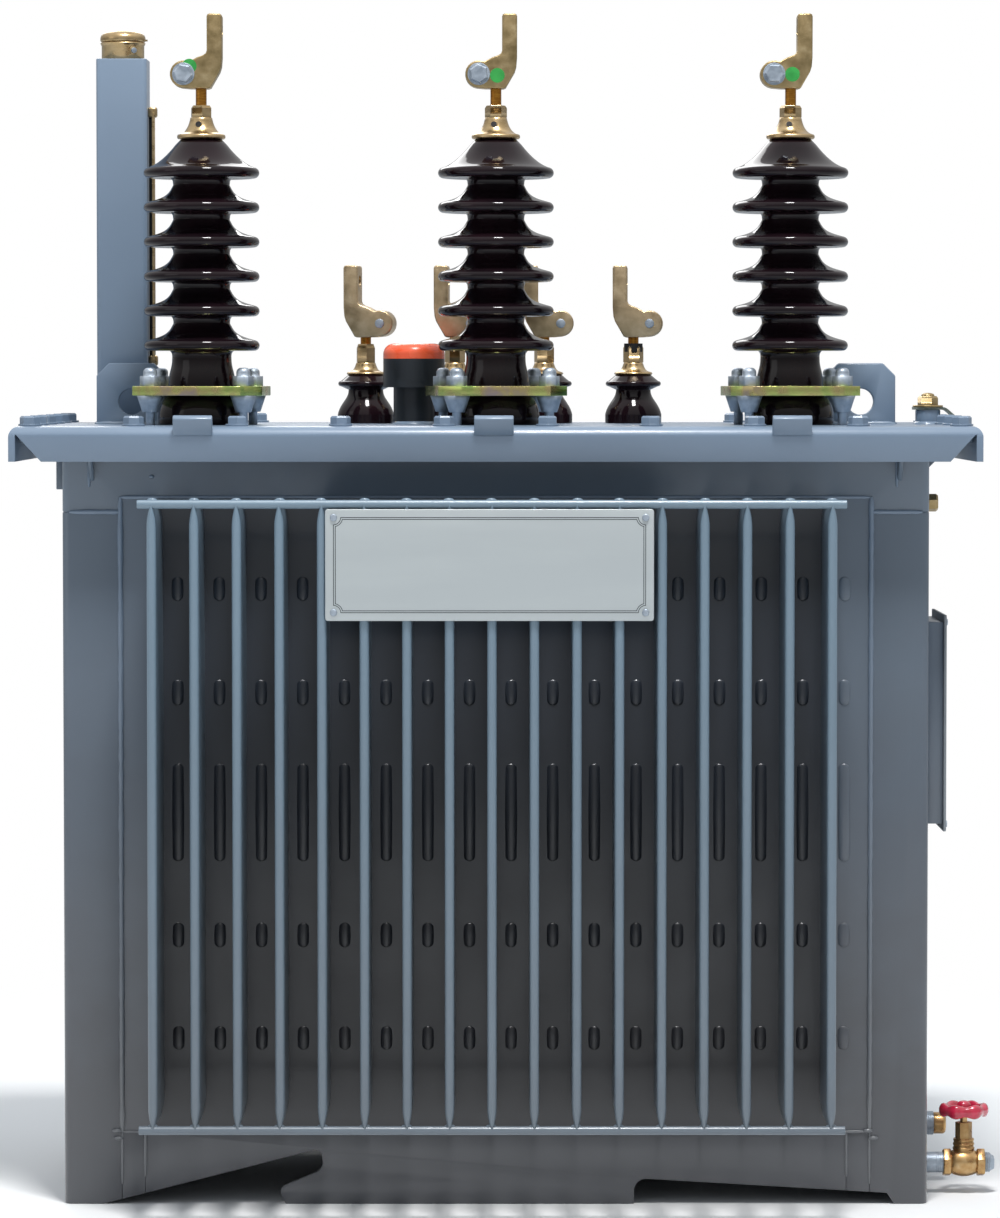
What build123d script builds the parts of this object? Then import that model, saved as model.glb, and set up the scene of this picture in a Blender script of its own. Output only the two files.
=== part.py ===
import os
from math import cos, radians, sin

from build123d import *

os.makedirs("parts", exist_ok=True)

# Tank, in millimetres. Every X and Y below is measured from the middle of the tank.
tank_width = 936
tank_depth = 420
wall = 5
corner_radius = 9
skirt_height = 79
post_width = 63
post_top = 751
post_foot_width = 88
foot_depth = 33
foot_thickness = 8
floor_thickness = 8

# Corrugated walls
panel_thickness = 3
panel_top = 767
fin_count = 17
fin_row_x = -4
fin_pitch = 45
fin_depth = 120
fin_thickness = 10
fin_tip_thickness = 3
fin_tip_height = 19
rod_diameter = 9.5
rod_overhang = 10
top_rod_z = 762
bottom_rod_z = 97

# Openings along the foot of the skirt, left and right of the middle plate
left_gap_inset = 42
left_gap_peak = (-190, 60.5)
left_gap_throat = (-187, 38)
left_gap_toe = (-236, 17)
left_gap_end = -228
gap_radius = 7
throat_radius = 11
right_gap_start = 150
right_gap_shoulder = 28
right_gap_inset = 36
right_gap_heel = 12
right_gap_cut_back = 8
shoulder_radius = 13

# Top frame and cover
cover_top = 844
cover_thickness = 8
cover_side_gap = 2
cover_front_gap = 10
lip_height = 38
bend_radius = 12
lip_cut = 28
lip_slot = 1
frame_thickness = 6
flange_thickness = 10
flange_reach = 42
gusset_thickness = 5
right_gusset = 32
left_gusset_reach = 11
left_gusset_drop = 52
side_gusset_y = 150
front_gusset = 42
front_gusset_inset = 32.5

# Tabs on the cover's front edge
tab_width = 42
tab_thickness = 5
tab_height = 22
tab_lean = 22
tab_foot_z = 834
tab_positions = (-323, -2, 316)

# Lifting lugs
lug_inset = 112
lug_y = 10
lug_width = 78
lug_height = 68
lug_thickness = 12
lug_chamfer = 14
lug_hole_radius = 14.5
lug_hole_height = 25

# Filler pipe, its cap and the level gauge
pipe_inset = 99
pipe_y = 70
pipe_side = 57
pipe_corner = 5
pipe_top = 1254
cap_collar_diameter = 48
cap_collar_height = 19
cap_diameter = 51
cap_height = 15
cap_dome = 4
gauge_width = 14
gauge_depth = 7
gauge_top = 1201
gauge_bottom = 909
gauge_fitting_height = 12
gauge_fitting_depth = 10

# High-voltage bushings
hv_spacing = 323
hv_y = -100
hv_sheds = 6
hv_shed_pitch = 37.8
hv_top_shed_z = 1120
hv_shed_radius = 63.5
hv_shed_rim = 12
hv_core_radius = 30.5
hv_neck_radius = 37.5
hv_belly_radius = 48
hv_porcelain_top = 1157
hv_crown_radius = 23
hv_foot_height = 6
hv_core_taper = 2.5
hv_shed_rise = 0.62
hv_shed_flare = 16
hv_flare_height = 10
hv_ring_drop = 12
hv_ring_lead = 3.5
hv_waist_rise = 3
ring_side = 142
ring_corner = 22
ring_thickness = 10.5
ring_z = 876
ring_play = 0.4
ring_yaw = (-3, 9, 4)
clamp_stud_spacing = 102
clamp_stud_diameter = 10
clamp_hole_play = 1
cone_bottom_diameter = 17
cone_top_diameter = 29
cone_height = 18
clamp_nut_width = 20
clamp_nut_height = 11
clamp_dome_diameter = 15.4
clamp_dome_height = 9
clamp_dome_flat = 2.5
hv_cap_radius = 26.5
hv_cap_rim = 5
hv_cap_bell_height = 24
hv_nut_width = 21
hv_nut_height = 13
terminal_stud_diameter = 12
stud_play = 0.1
hv_clamp_z = 1211.5

# Low-voltage bushings
lv_spacing = 101.5
lv_row_x = 4
lv_y = 105
lv_foot_radius = 32
lv_neck_radius = 19.7
lv_shed_radius = 31.4
lv_porcelain_top = 899
lv_crown_radius = 20
lv_shed_height = 45
lv_shed_rim = 3
lv_foot_height = 10
lv_flare_height = 26
lv_flare_lead = 4.5
lv_throat_drop = 7
lv_cap_radius = 21.8
lv_cap_rim = 2.5
lv_cap_bell_height = 14
lv_nut_width = 20
lv_nut_height = 21
lv_clamp_z = 941.4
lv_clamp_yaw = (170, 176, 180, 177)

# Terminal clamps
lug_end_x = -20
clamp_height = 31
clamp_depth = 28
clamp_roof = 5
blade_inner = 5
blade_outer = 22
blade_height = 83
blade_corner = 3
blade_hole_radius = 6.5
blade_hole_drop = 19
heel_radius = 15
crotch_radius = 4

# Oil level indicator
indicator_x = -92
indicator_y = 20
indicator_neck_diameter = 46
indicator_neck_height = 41
indicator_diameter = 69
indicator_body_height = 32
indicator_cap_height = 17
indicator_cap_radius = 12

# Earthing
earth_inset = 37
earth_y = 0
earth_boss_diameter = 28
earth_boss_height = 16
earth_washer_diameter = 34
earth_nut_width = 20
earth_nut_height = 16
strap_width = 20
strap_thickness = 3
strap_bend = 9
side_bolt_y = -170
side_bolt_z = 760
side_bolt_width = 17
side_bolt_height = 12

# Plates
sign_x = -6.5
sign_width = 347
sign_height = 118
sign_thickness = 3
sign_top = 757
sign_corner = 3
rating_width = 160
rating_height = 236
rating_thickness = 3
rating_y = -95
rating_z = 520
bracket_depth = 19
bracket_inset = 8

# Drain valve and plug
valve_y = -130
valve_z = 33.5
drain_pipe_diameter = 22.5
drain_pipe_length = 24
valve_length = 45
valve_collar_diameter = 27
valve_collar_length = 8
valve_body_diameter = 31
valve_neck_diameter = 24
valve_bonnet_diameter = 22
bonnet_top = 78
gland_width = 16
gland_height = 18
outlet_plug_length = 11
outlet_plug_diameter = 23
outlet_plug_end = 12
stem_diameter = 8
stem_play = 0.08
stem_depth = 14
wheel_radius = 27
wheel_lobes = 6
wheel_spokes = 3
wheel_lobe_radius = 6
wheel_thickness = 13
wheel_z = 84
wheel_hub_diameter = 16
wheel_hub_height = 18
wheel_spoke_width = 7
wheel_rim_width = 9
plug_y = -55
plug_z = 66
plug_nipple_diameter = 26
plug_nipple_length = 19
plug_end_width = 24
plug_end_length = 14
plug_end_round = 4

# The cover goes over the flange that stands out all round the tank
cover_width = tank_width + 2 * (flange_reach + cover_side_gap + cover_thickness)
cover_depth = tank_depth + 2 * (flange_reach + cover_front_gap + cover_thickness)
lug_x = cover_width / 2 - lug_inset
pipe_x = pipe_inset - cover_width / 2
earth_x = cover_width / 2 - earth_inset

# Reach of the whole object, which sets the middle of the tank in the row's frame
valve_x = tank_width / 2 + drain_pipe_length + valve_length / 2
right_reach = valve_x + valve_length / 2 + outlet_plug_length
left_reach = cover_width / 2
front_reach = tank_depth / 2 + fin_depth + sign_thickness
rear_reach = tank_depth / 2 + fin_depth
mid_x = (left_reach - right_reach) / 2
mid_y = (front_reach - rear_reach) / 2

cover_underside = cover_top - cover_thickness
hv_row = (-hv_spacing, 0, hv_spacing)
lv_row = tuple(lv_row_x + (i - 1.5) * lv_spacing for i in range(4))


def level(z, x=0, y=0, yaw=0):
    """A horizontal plane at height z over a point of the tank, turned by yaw."""
    turn = radians(yaw)
    return Plane(origin=(mid_x + x, mid_y + y, z), x_dir=(cos(turn), sin(turn), 0), z_dir=(0, 0, 1))


def upright(x=0, y=0, yaw=0, z=0):
    """A vertical plane facing the front, its own Y pointing up, turned by yaw."""
    turn = radians(yaw)
    facing = (sin(turn), -cos(turn), 0)
    return Plane(origin=(mid_x + x, mid_y + y, z), x_dir=(cos(turn), sin(turn), 0), z_dir=facing)


def across(x, y, yaw=0, z=0):
    """The upright plane's neighbour, facing along its own X."""
    turn = radians(yaw)
    along = (-sin(turn), cos(turn), 0)
    return Plane(origin=(mid_x + x, mid_y + y, z), x_dir=along, z_dir=(cos(turn), sin(turn), 0))


def sideways(x=0, y=0, z=0):
    """A vertical plane facing right, its own X pointing back and its own Y up."""
    return Plane(origin=(mid_x + x, mid_y + y, z), x_dir=(0, 1, 0), z_dir=(1, 0, 0))


def write(part, name):
    part.label = name
    export_step(part, f"parts/{name}.step")


def near(point):
    """A test for the corner of a flat outline that lies at a point of its plane."""
    return lambda vertex: abs(vertex.X - point[0]) < 0.01 and abs(vertex.Y - point[1]) < 0.01


def cut_gaps():
    """Open the two gaps along the foot of the piece being built, front and back alike."""
    through = tank_depth / 2 + wall
    left_corners = (
        (left_gap_inset - tank_width / 2, 0),
        left_gap_peak,
        left_gap_throat,
        left_gap_toe,
        (left_gap_end, 0),
    )
    with BuildSketch(upright(y=through)) as left_gap:
        with BuildLine():
            Polyline(*left_corners, close=True)
        make_face()
        fillet(left_gap.vertices().filter_by(near(left_gap_peak)), radius=gap_radius)
        fillet(left_gap.vertices().filter_by(near(left_gap_throat)), radius=throat_radius)
        fillet(left_gap.vertices().filter_by(near(left_gap_toe)), radius=gap_radius)
    extrude(left_gap.sketch, amount=2 * through, mode=Mode.SUBTRACT)
    right_gap_end = tank_width / 2 - right_gap_inset
    right_shoulder = (right_gap_start, right_gap_shoulder)
    right_heel = (right_gap_end - right_gap_cut_back, right_gap_heel)
    with BuildSketch(upright(y=through)) as right_gap:
        with BuildLine():
            Polyline((right_gap_start, 0), right_shoulder, right_heel, (right_gap_end, 0), close=True)
        make_face()
        fillet(right_gap.vertices().filter_by(near(right_shoulder)), radius=shoulder_radius)
    extrude(right_gap.sketch, amount=2 * through, mode=Mode.SUBTRACT)


# End walls: a side plate folded round both corners, with a foot turned in at the bottom
for side_name, hand in (("left", -1), ("right", 1)):
    middle = hand * (tank_width - post_width) / 2
    with BuildPart() as end_wall:
        with BuildSketch(level(0, middle)) as outline:
            Rectangle(post_width, tank_depth)
            corners = outline.vertices().sort_by(Axis.X)
            fillet(corners[:2] if hand < 0 else corners[2:], radius=corner_radius)
            with Locations((-hand * wall, 0)):
                Rectangle(post_width, tank_depth - 2 * wall, mode=Mode.SUBTRACT)
        extrude(amount=post_top)
        with BuildSketch(level(0, hand * (tank_width / 2 - wall - foot_depth / 2))):
            Rectangle(foot_depth, tank_depth - 2 * wall)
        extrude(amount=foot_thickness)
        cut_gaps()
    write(end_wall.part, f"{side_name}_end_wall")

# Foot plates that widen the posts below the corrugated walls
foot_plate_width = post_foot_width - post_width
foot_plate_x = tank_width / 2 - post_width - foot_plate_width / 2
with BuildPart() as corner_foot_plates:
    with BuildSketch(level(0)):
        with GridLocations(2 * foot_plate_x, tank_depth - wall, 2, 2):
            Rectangle(foot_plate_width, wall)
    extrude(amount=skirt_height)
    cut_gaps()
write(corner_foot_plates.part, "corner_foot_plates")

# Skirt plates under the corrugated walls
skirt_length = tank_width - 2 * post_foot_width
for side_name, hand in (("front", -1), ("rear", 1)):
    with BuildPart() as skirt:
        with BuildSketch(level(0, y=hand * (tank_depth - wall) / 2)):
            Rectangle(skirt_length, wall)
        extrude(amount=skirt_height)
        cut_gaps()
    write(skirt.part, f"{side_name}_skirt")

# Floor plate, let in between the walls
with BuildPart() as tank_floor:
    with BuildSketch(level(skirt_height - floor_thickness)):
        Rectangle(tank_width - 2 * wall, tank_depth - 2 * wall)
    extrude(amount=floor_thickness)
write(tank_floor.part, "tank_floor")

# Stay rods across the noses of the fins
rod_length = (fin_count - 1) * fin_pitch + fin_thickness + 2 * rod_overhang
rod_y = tank_depth / 2 + fin_depth - rod_diameter / 2
with BuildPart() as fin_stay_rods:
    for y in (-rod_y, rod_y):
        for z in (bottom_rod_z, top_rod_z):
            with BuildSketch(sideways(fin_row_x - rod_length / 2, y, z)):
                Circle(rod_diameter / 2)
            extrude(amount=rod_length)
write(fin_stay_rods.part, "fin_stay_rods")

# Corrugated walls: a panel, and on it deep thin fins, pinched to an edge at top and bottom
panel_width = tank_width - 2 * post_width
fin_height = top_rod_z - bottom_rod_z
fin_middle = (top_rod_z + bottom_rod_z) / 2
pinch = (fin_thickness - fin_tip_thickness) / 2
for side_name, hand in (("front", -1), ("rear", 1)):
    fin_y = hand * (tank_depth / 2 + fin_depth / 2)
    with BuildPart(upright(y=fin_y, z=fin_middle)) as fin:
        Box(fin_thickness, fin_height, fin_depth)
        ends = fin.edges().filter_by(Axis.Y).filter_by(lambda e: abs(e.length - fin_depth) < 0.01)
        chamfer(ends, length=fin_tip_height, length2=pinch)
    with BuildPart() as fins:
        with Locations((fin_row_x, 0)):
            with GridLocations(fin_pitch, 1, fin_count, 1):
                add(fin.part)
        add(fin_stay_rods.part, mode=Mode.SUBTRACT)
    write(fins.part, f"{side_name}_fins")
    with BuildPart() as wall_panel:
        with BuildSketch(level(skirt_height, y=hand * (tank_depth - panel_thickness) / 2)):
            Rectangle(panel_width, panel_thickness)
        extrude(amount=panel_top - skirt_height)
    write(wall_panel.part, f"{side_name}_wall_panel")

# Top frame: an angle round the tank, its flange turned out under the cover
band_step = panel_top - post_top
band_bottom = post_top
flange_bottom = cover_underside - flange_thickness
with BuildPart() as top_frame:
    with BuildSketch(level(band_bottom)) as band:
        Rectangle(tank_width, tank_depth)
        fillet(band.vertices(), radius=corner_radius)
        Rectangle(tank_width - 2 * frame_thickness, tank_depth - 2 * frame_thickness, mode=Mode.SUBTRACT)
    extrude(amount=flange_bottom - band_bottom)
    with BuildSketch(level(band_bottom)):
        Rectangle(panel_width, tank_depth)
    extrude(amount=band_step, mode=Mode.SUBTRACT)
    with BuildSketch(level(flange_bottom)):
        Rectangle(tank_width + 2 * flange_reach, tank_depth + 2 * flange_reach)
        Rectangle(tank_width - 2 * frame_thickness, tank_depth - 2 * frame_thickness, mode=Mode.SUBTRACT)
    extrude(amount=flange_thickness)
write(top_frame.part, "top_frame")

# Gussets between the frame's band and its flange
gusset_half = gusset_thickness / 2
side_wall_x = tank_width / 2
front_wall_y = tank_depth / 2
left_steps = (
    (-side_wall_x, flange_bottom),
    (-side_wall_x - right_gusset, flange_bottom),
    (-side_wall_x - left_gusset_reach, flange_bottom - right_gusset + left_gusset_reach),
    (-side_wall_x - left_gusset_reach, flange_bottom - left_gusset_drop),
    (-side_wall_x, flange_bottom - left_gusset_drop),
)
right_steps = (
    (side_wall_x, flange_bottom),
    (side_wall_x + right_gusset, flange_bottom),
    (side_wall_x, flange_bottom - right_gusset),
)
with BuildPart() as flange_gussets:
    for y in (-side_gusset_y, side_gusset_y):
        for steps in (left_steps, right_steps):
            with BuildSketch(upright(y=y + gusset_half)):
                with BuildLine():
                    Polyline(*steps, close=True)
                make_face()
            extrude(amount=gusset_thickness)
    for hand in (-1, 1):
        edge = hand * front_wall_y
        steps = (
            (edge, flange_bottom),
            (edge + hand * (flange_reach - 1), flange_bottom),
            (edge, flange_bottom - front_gusset),
        )
        for side in (-1, 1):
            gusset_x = side * (tank_width / 2 - front_gusset_inset)
            with BuildSketch(sideways(gusset_x - gusset_half)):
                with BuildLine():
                    Polyline(*steps, close=True)
                make_face()
            extrude(amount=gusset_thickness)
write(flange_gussets.part, "flange_gussets")

# Cover: a tray with its edges bent down, the front and rear lips cut off at 45 degrees
lip_bottom = cover_top - lip_height
with BuildPart() as cover:
    with BuildSketch(level(lip_bottom)):
        Rectangle(cover_width, cover_depth)
    extrude(amount=lip_height)
    fillet(cover.faces().sort_by(Axis.Z)[-1].edges(), radius=bend_radius)
    with BuildSketch(level(lip_bottom)) as inside:
        Rectangle(cover_width - 2 * cover_thickness, cover_depth - 2 * cover_thickness)
        fillet(inside.vertices(), radius=bend_radius - cover_thickness)
    extrude(amount=lip_height - cover_thickness, mode=Mode.SUBTRACT)
    for hand in (-1, 1):
        corner = hand * (cover_width / 2 - cover_thickness + lip_slot)
        with BuildSketch(upright(y=cover_depth / 2)):
            with BuildLine():
                Polyline(
                    (corner, lip_bottom),
                    (corner, cover_underside - lip_slot),
                    (corner - hand * lip_slot, cover_underside - lip_slot),
                    (corner - hand * lip_cut, lip_bottom),
                    close=True,
                )
            make_face()
        extrude(amount=cover_depth, mode=Mode.SUBTRACT)
write(cover.part, "cover")

# Tabs leaning out over the cover's front edge, their backs following its bend
with BuildPart() as edge_tabs:
    lean = tab_height * sin(radians(tab_lean))
    foot_y = -cover_depth / 2 + tab_thickness / 2
    for x in tab_positions:
        with BuildSketch(sideways(x - tab_width / 2)):
            with BuildLine():
                Polyline(
                    (foot_y, tab_foot_z),
                    (foot_y, tab_foot_z + tab_height - lean),
                    (foot_y - lean, tab_foot_z + tab_height),
                    (foot_y - lean - tab_thickness, tab_foot_z + tab_height - lean / 2),
                    (foot_y - tab_thickness, tab_foot_z),
                    close=True,
                )
            make_face()
        extrude(amount=tab_width)
    add(cover.part, mode=Mode.SUBTRACT)
write(edge_tabs.part, "edge_tabs")

# Lifting lugs: plates facing the front, chamfered at the top and bored for a shackle
for side_name, x in (("left", -lug_x), ("right", lug_x)):
    with BuildPart() as lifting_lug:
        with BuildSketch(upright(x, lug_y + lug_thickness / 2, z=cover_top)) as lug_face:
            with Locations((0, lug_height / 2)):
                Rectangle(lug_width, lug_height)
            chamfer(lug_face.vertices().sort_by(Axis.Y)[-2:], length=lug_chamfer)
            with Locations((0, lug_hole_height)):
                Circle(lug_hole_radius, mode=Mode.SUBTRACT)
        extrude(amount=lug_thickness)
    write(lifting_lug.part, f"{side_name}_lifting_lug")

# Filler pipe with its cap, and the level gauge on its right face
with BuildPart() as filler_pipe:
    with BuildSketch(level(cover_top, pipe_x, pipe_y)):
        RectangleRounded(pipe_side, pipe_side, pipe_corner)
    extrude(amount=pipe_top - cover_top)
write(filler_pipe.part, "filler_pipe")

with BuildPart() as filler_cap:
    with BuildSketch(level(pipe_top, pipe_x, pipe_y)):
        Circle(cap_collar_diameter / 2)
    extrude(amount=cap_collar_height)
    with BuildSketch(level(pipe_top + cap_collar_height, pipe_x, pipe_y)):
        Circle(cap_diameter / 2)
    extrude(amount=cap_height)
    fillet(filler_cap.faces().sort_by(Axis.Z)[-1].edges(), radius=cap_height - cap_dome)
write(filler_cap.part, "filler_cap")

gauge_x = pipe_x + pipe_side / 2
with BuildPart() as level_gauge:
    with BuildSketch(level(gauge_bottom, gauge_x + gauge_depth / 2, pipe_y)):
        Rectangle(gauge_depth, gauge_width)
    extrude(amount=gauge_top - gauge_bottom)
    for z in (gauge_bottom, gauge_top - gauge_fitting_height):
        with BuildSketch(level(z, gauge_x + gauge_fitting_depth / 2, pipe_y)):
            Rectangle(gauge_fitting_depth, gauge_width)
        extrude(amount=gauge_fitting_height)
write(level_gauge.part, "level_gauge")

# Oil level indicator behind the bushings
with BuildPart() as indicator_body:
    with BuildSketch(level(cover_top, indicator_x, indicator_y)):
        Circle(indicator_neck_diameter / 2)
    extrude(amount=indicator_neck_height)
    with BuildSketch(level(cover_top + indicator_neck_height, indicator_x, indicator_y)):
        Circle(indicator_diameter / 2)
    extrude(amount=indicator_body_height)
write(indicator_body.part, "indicator_body")

indicator_cap_z = cover_top + indicator_neck_height + indicator_body_height
with BuildPart() as indicator_cap:
    with BuildSketch(level(indicator_cap_z, indicator_x, indicator_y)):
        Circle(indicator_diameter / 2)
    extrude(amount=indicator_cap_height)
    fillet(indicator_cap.faces().sort_by(Axis.Z)[-1].edges(), radius=indicator_cap_radius)
write(indicator_cap.part, "indicator_cap")

# High-voltage bushings: glazed bodies with flared sheds on a tapering core
for index, x in enumerate(hv_row):
    turn_axis = Axis((mid_x + x, mid_y + hv_y, 0), (0, 0, 1))
    with BuildPart() as hv_bushing:
        with BuildSketch(upright(x, hv_y)) as hv_profile:
            with BuildLine():
                foot = Polyline(
                    (0, cover_top),
                    (hv_belly_radius, cover_top),
                    (hv_belly_radius, cover_top + hv_foot_height),
                )
                shoulder = Spline(
                    foot @ 1,
                    (hv_belly_radius - 1, ring_z - hv_ring_drop),
                    (hv_neck_radius + hv_ring_lead, ring_z),
                    tangents=((0, 1), (-0.7, 1)),
                )
                waist = Polyline(
                    shoulder @ 1,
                    (hv_neck_radius, ring_z),
                    (hv_neck_radius, ring_z + ring_thickness + hv_waist_rise),
                )
                bottom_shed_z = hv_top_shed_z - (hv_sheds - 1) * hv_shed_pitch
                core = hv_core_radius + hv_core_taper
                neck = Spline(
                    waist @ 1,
                    (core, bottom_shed_z - hv_shed_rim / 2),
                    tangents=((0, 1), (0, 1)),
                )
                at = neck @ 1
                for shed in range(hv_sheds):
                    tip = bottom_shed_z + shed * hv_shed_pitch
                    last = shed == hv_sheds - 1
                    taper = hv_core_taper * (1 - (shed + 1) / hv_sheds)
                    above = hv_crown_radius if last else hv_core_radius + taper
                    above_z = hv_porcelain_top if last else tip + hv_shed_pitch - hv_shed_rim / 2
                    rim_x = hv_shed_radius - hv_shed_rim / 2
                    under = Line(at, (rim_x, tip - hv_shed_rim / 2))
                    rim = ThreePointArc(under @ 1, (hv_shed_radius, tip), (rim_x - 2, tip + hv_shed_rim / 2))
                    top_z = tip + hv_shed_rise * hv_shed_pitch
                    slope = Spline(
                        rim @ 1,
                        (above + hv_shed_flare, tip + hv_flare_height),
                        (above + (1.5 if last else 0), top_z if not last else above_z - 2),
                        tangents=((-1, 0.25), (-0.1, 1)),
                    )
                    stretch = Line(slope @ 1, (above, above_z))
                    at = stretch @ 1
                Polyline(at, (0, hv_porcelain_top), (0, cover_top))
            make_face()
        revolve(axis=turn_axis)
    write(hv_bushing.part, f"hv_bushing_{index + 1}")

# Clamp rings over the bushings' shoulders, drawn down by four studs each
ring_top = ring_z + ring_thickness
for index, x in enumerate(hv_row):
    with BuildPart() as clamp_ring:
        with BuildSketch(level(ring_z, x, hv_y, ring_yaw[index])) as ring_face:
            Rectangle(ring_side, ring_side)
            chamfer(ring_face.vertices(), length=ring_corner)
            Circle(hv_neck_radius + ring_play, mode=Mode.SUBTRACT)
            with GridLocations(clamp_stud_spacing, clamp_stud_spacing, 2, 2):
                Circle(clamp_stud_diameter / 2 + clamp_hole_play, mode=Mode.SUBTRACT)
        extrude(amount=ring_thickness)
    write(clamp_ring.part, f"hv_clamp_ring_{index + 1}")

# Studs of the clamp rings, each with a cone under the ring and a domed nut on it
with BuildPart() as clamp_studs:
    for index, x in enumerate(hv_row):
        base = level(cover_top, x, hv_y, ring_yaw[index])
        with BuildSketch(base):
            with GridLocations(clamp_stud_spacing, clamp_stud_spacing, 2, 2):
                Circle(clamp_stud_diameter / 2)
        extrude(amount=ring_top - cover_top)
        for corner in GridLocations(clamp_stud_spacing, clamp_stud_spacing, 2, 2):
            foot = Plane(base.location * corner)
            with BuildSketch(foot.offset(ring_z - cover_top - cone_height)):
                Circle(cone_bottom_diameter / 2)
            with BuildSketch(foot.offset(ring_z - cover_top)):
                Circle(cone_top_diameter / 2)
            loft()
            with BuildSketch(foot.offset(ring_top - cover_top)):
                RegularPolygon(clamp_nut_width / 2, 6, major_radius=False)
            extrude(amount=clamp_nut_height)
            with BuildSketch(foot.offset(ring_top - cover_top + clamp_nut_height)):
                Circle(clamp_dome_diameter / 2)
            extrude(amount=clamp_dome_height)
    dome_tops = clamp_studs.faces().filter_by(Axis.Z).group_by(Axis.Z)[-1]
    fillet(dome_tops.edges(), radius=clamp_dome_diameter / 2 - clamp_dome_flat)
write(clamp_studs.part, "hv_clamp_studs")


def add_bell(x, y, z, rim_radius, rim_height, bell_height, waist):
    """A turned cap that rises from its rim to the nut's waist."""
    with BuildSketch(upright(x, y, z=z)) as profile:
        with BuildLine():
            base = Polyline((0, 0), (rim_radius, 0), (rim_radius, rim_height))
            flare = Spline(
                base @ 1,
                (waist + 0.28 * (rim_radius - waist), rim_height + 0.3 * (bell_height - rim_height)),
                (waist, bell_height),
                tangents=((-1, 0.15), (-0.05, 1)),
            )
            Polyline(flare @ 1, (0, bell_height), (0, 0))
        make_face()
    revolve(profile.sketch, axis=Axis((mid_x + x, mid_y + y, 0), (0, 0, 1)))


def add_nut(x, y, z, width, height):
    with BuildSketch(level(z, x, y)) as hexagon:
        RegularPolygon(width / 2, 6, major_radius=False)
    extrude(hexagon.sketch, amount=height)


def add_stud(x, y, z, top):
    with BuildSketch(level(z, x, y)) as section:
        Circle(terminal_stud_diameter / 2)
    extrude(section.sketch, amount=top - z)


# Brass caps, nuts and studs on the bushings
hv_bell_top = hv_porcelain_top + hv_cap_bell_height
with BuildPart() as hv_caps:
    for x in hv_row:
        add_bell(x, hv_y, hv_porcelain_top, hv_cap_radius, hv_cap_rim, hv_cap_bell_height, hv_nut_width / 2)
        add_nut(x, hv_y, hv_bell_top, hv_nut_width, hv_nut_height)
        add_stud(x, hv_y, hv_bell_top + hv_nut_height, hv_clamp_z + clamp_height - 2 * clamp_roof)
write(hv_caps.part, "hv_caps")

lv_bell_top = lv_porcelain_top + lv_cap_bell_height
with BuildPart() as lv_caps:
    for x in lv_row:
        add_bell(x, lv_y, lv_porcelain_top, lv_cap_radius, lv_cap_rim, lv_cap_bell_height, lv_nut_width / 2)
        add_nut(x, lv_y, lv_bell_top, lv_nut_width, lv_nut_height)
        add_stud(x, lv_y, lv_bell_top + lv_nut_height, lv_clamp_z + clamp_height - 2 * clamp_roof)
write(lv_caps.part, "lv_caps")


def terminal(x, y, z, yaw):
    """A cast clamp on a stud: a rounded lug to one side, a bored blade standing on the other."""
    with BuildPart() as clamp:
        with BuildSketch(upright(x, y, yaw, z)) as clamp_face:
            with Locations((lug_end_x, clamp_height / 2)):
                Circle(clamp_height / 2)
            with Locations(((lug_end_x + blade_outer) / 2, clamp_height / 2)):
                Rectangle(blade_outer - lug_end_x, clamp_height)
            with Locations(((blade_inner + blade_outer) / 2, blade_height / 2)):
                Rectangle(blade_outer - blade_inner, blade_height)
            fillet(clamp_face.vertices().filter_by(near((blade_outer, 0))), radius=heel_radius)
            fillet(clamp_face.vertices().filter_by(near((blade_inner, clamp_height))), radius=crotch_radius)
            fillet(clamp_face.vertices().sort_by(Axis.Y)[-2:], radius=blade_corner)
        extrude(amount=clamp_depth / 2, both=True)
        with BuildSketch(level(z, x, y)):
            Circle(terminal_stud_diameter / 2 + stud_play)
        extrude(amount=clamp_height - clamp_roof, mode=Mode.SUBTRACT)
        with BuildSketch(across(x, y, yaw, z)):
            with Locations((0, blade_height - blade_hole_drop)):
                Circle(blade_hole_radius)
        extrude(amount=2 * blade_outer, mode=Mode.SUBTRACT)
    return clamp.part


for index, x in enumerate(hv_row):
    write(terminal(x, hv_y, hv_clamp_z, 0), f"hv_terminal_{index + 1}")

with BuildPart() as lv_terminals:
    for index, x in enumerate(lv_row):
        add(terminal(x, lv_y, lv_clamp_z, lv_clamp_yaw[index]))
write(lv_terminals.part, "lv_terminals")

# Low-voltage bushings: one shed over a flared foot
for index, x in enumerate(lv_row):
    with BuildPart() as lv_bushing:
        with BuildSketch(upright(x, lv_y)):
            with BuildLine():
                foot = Polyline(
                    (0, cover_top),
                    (lv_foot_radius, cover_top),
                    (lv_foot_radius, cover_top + lv_foot_height),
                )
                shed_z = cover_top + lv_shed_height
                flare = Spline(
                    foot @ 1,
                    (lv_neck_radius + lv_flare_lead, cover_top + lv_flare_height),
                    (lv_neck_radius, shed_z - lv_throat_drop),
                    tangents=((-0.2, 1), (0, 1)),
                )
                rim_x = lv_shed_radius - lv_shed_rim
                under = Line(flare @ 1, (rim_x, shed_z - lv_shed_rim))
                rim = ThreePointArc(under @ 1, (lv_shed_radius, shed_z), (rim_x, shed_z + lv_shed_rim))
                Polyline(rim @ 1, (lv_crown_radius, lv_porcelain_top), (0, lv_porcelain_top), (0, cover_top))
            make_face()
        revolve(axis=Axis((mid_x + x, mid_y + lv_y, 0), (0, 0, 1)))
    write(lv_bushing.part, f"lv_bushing_{index + 1}")

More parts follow.
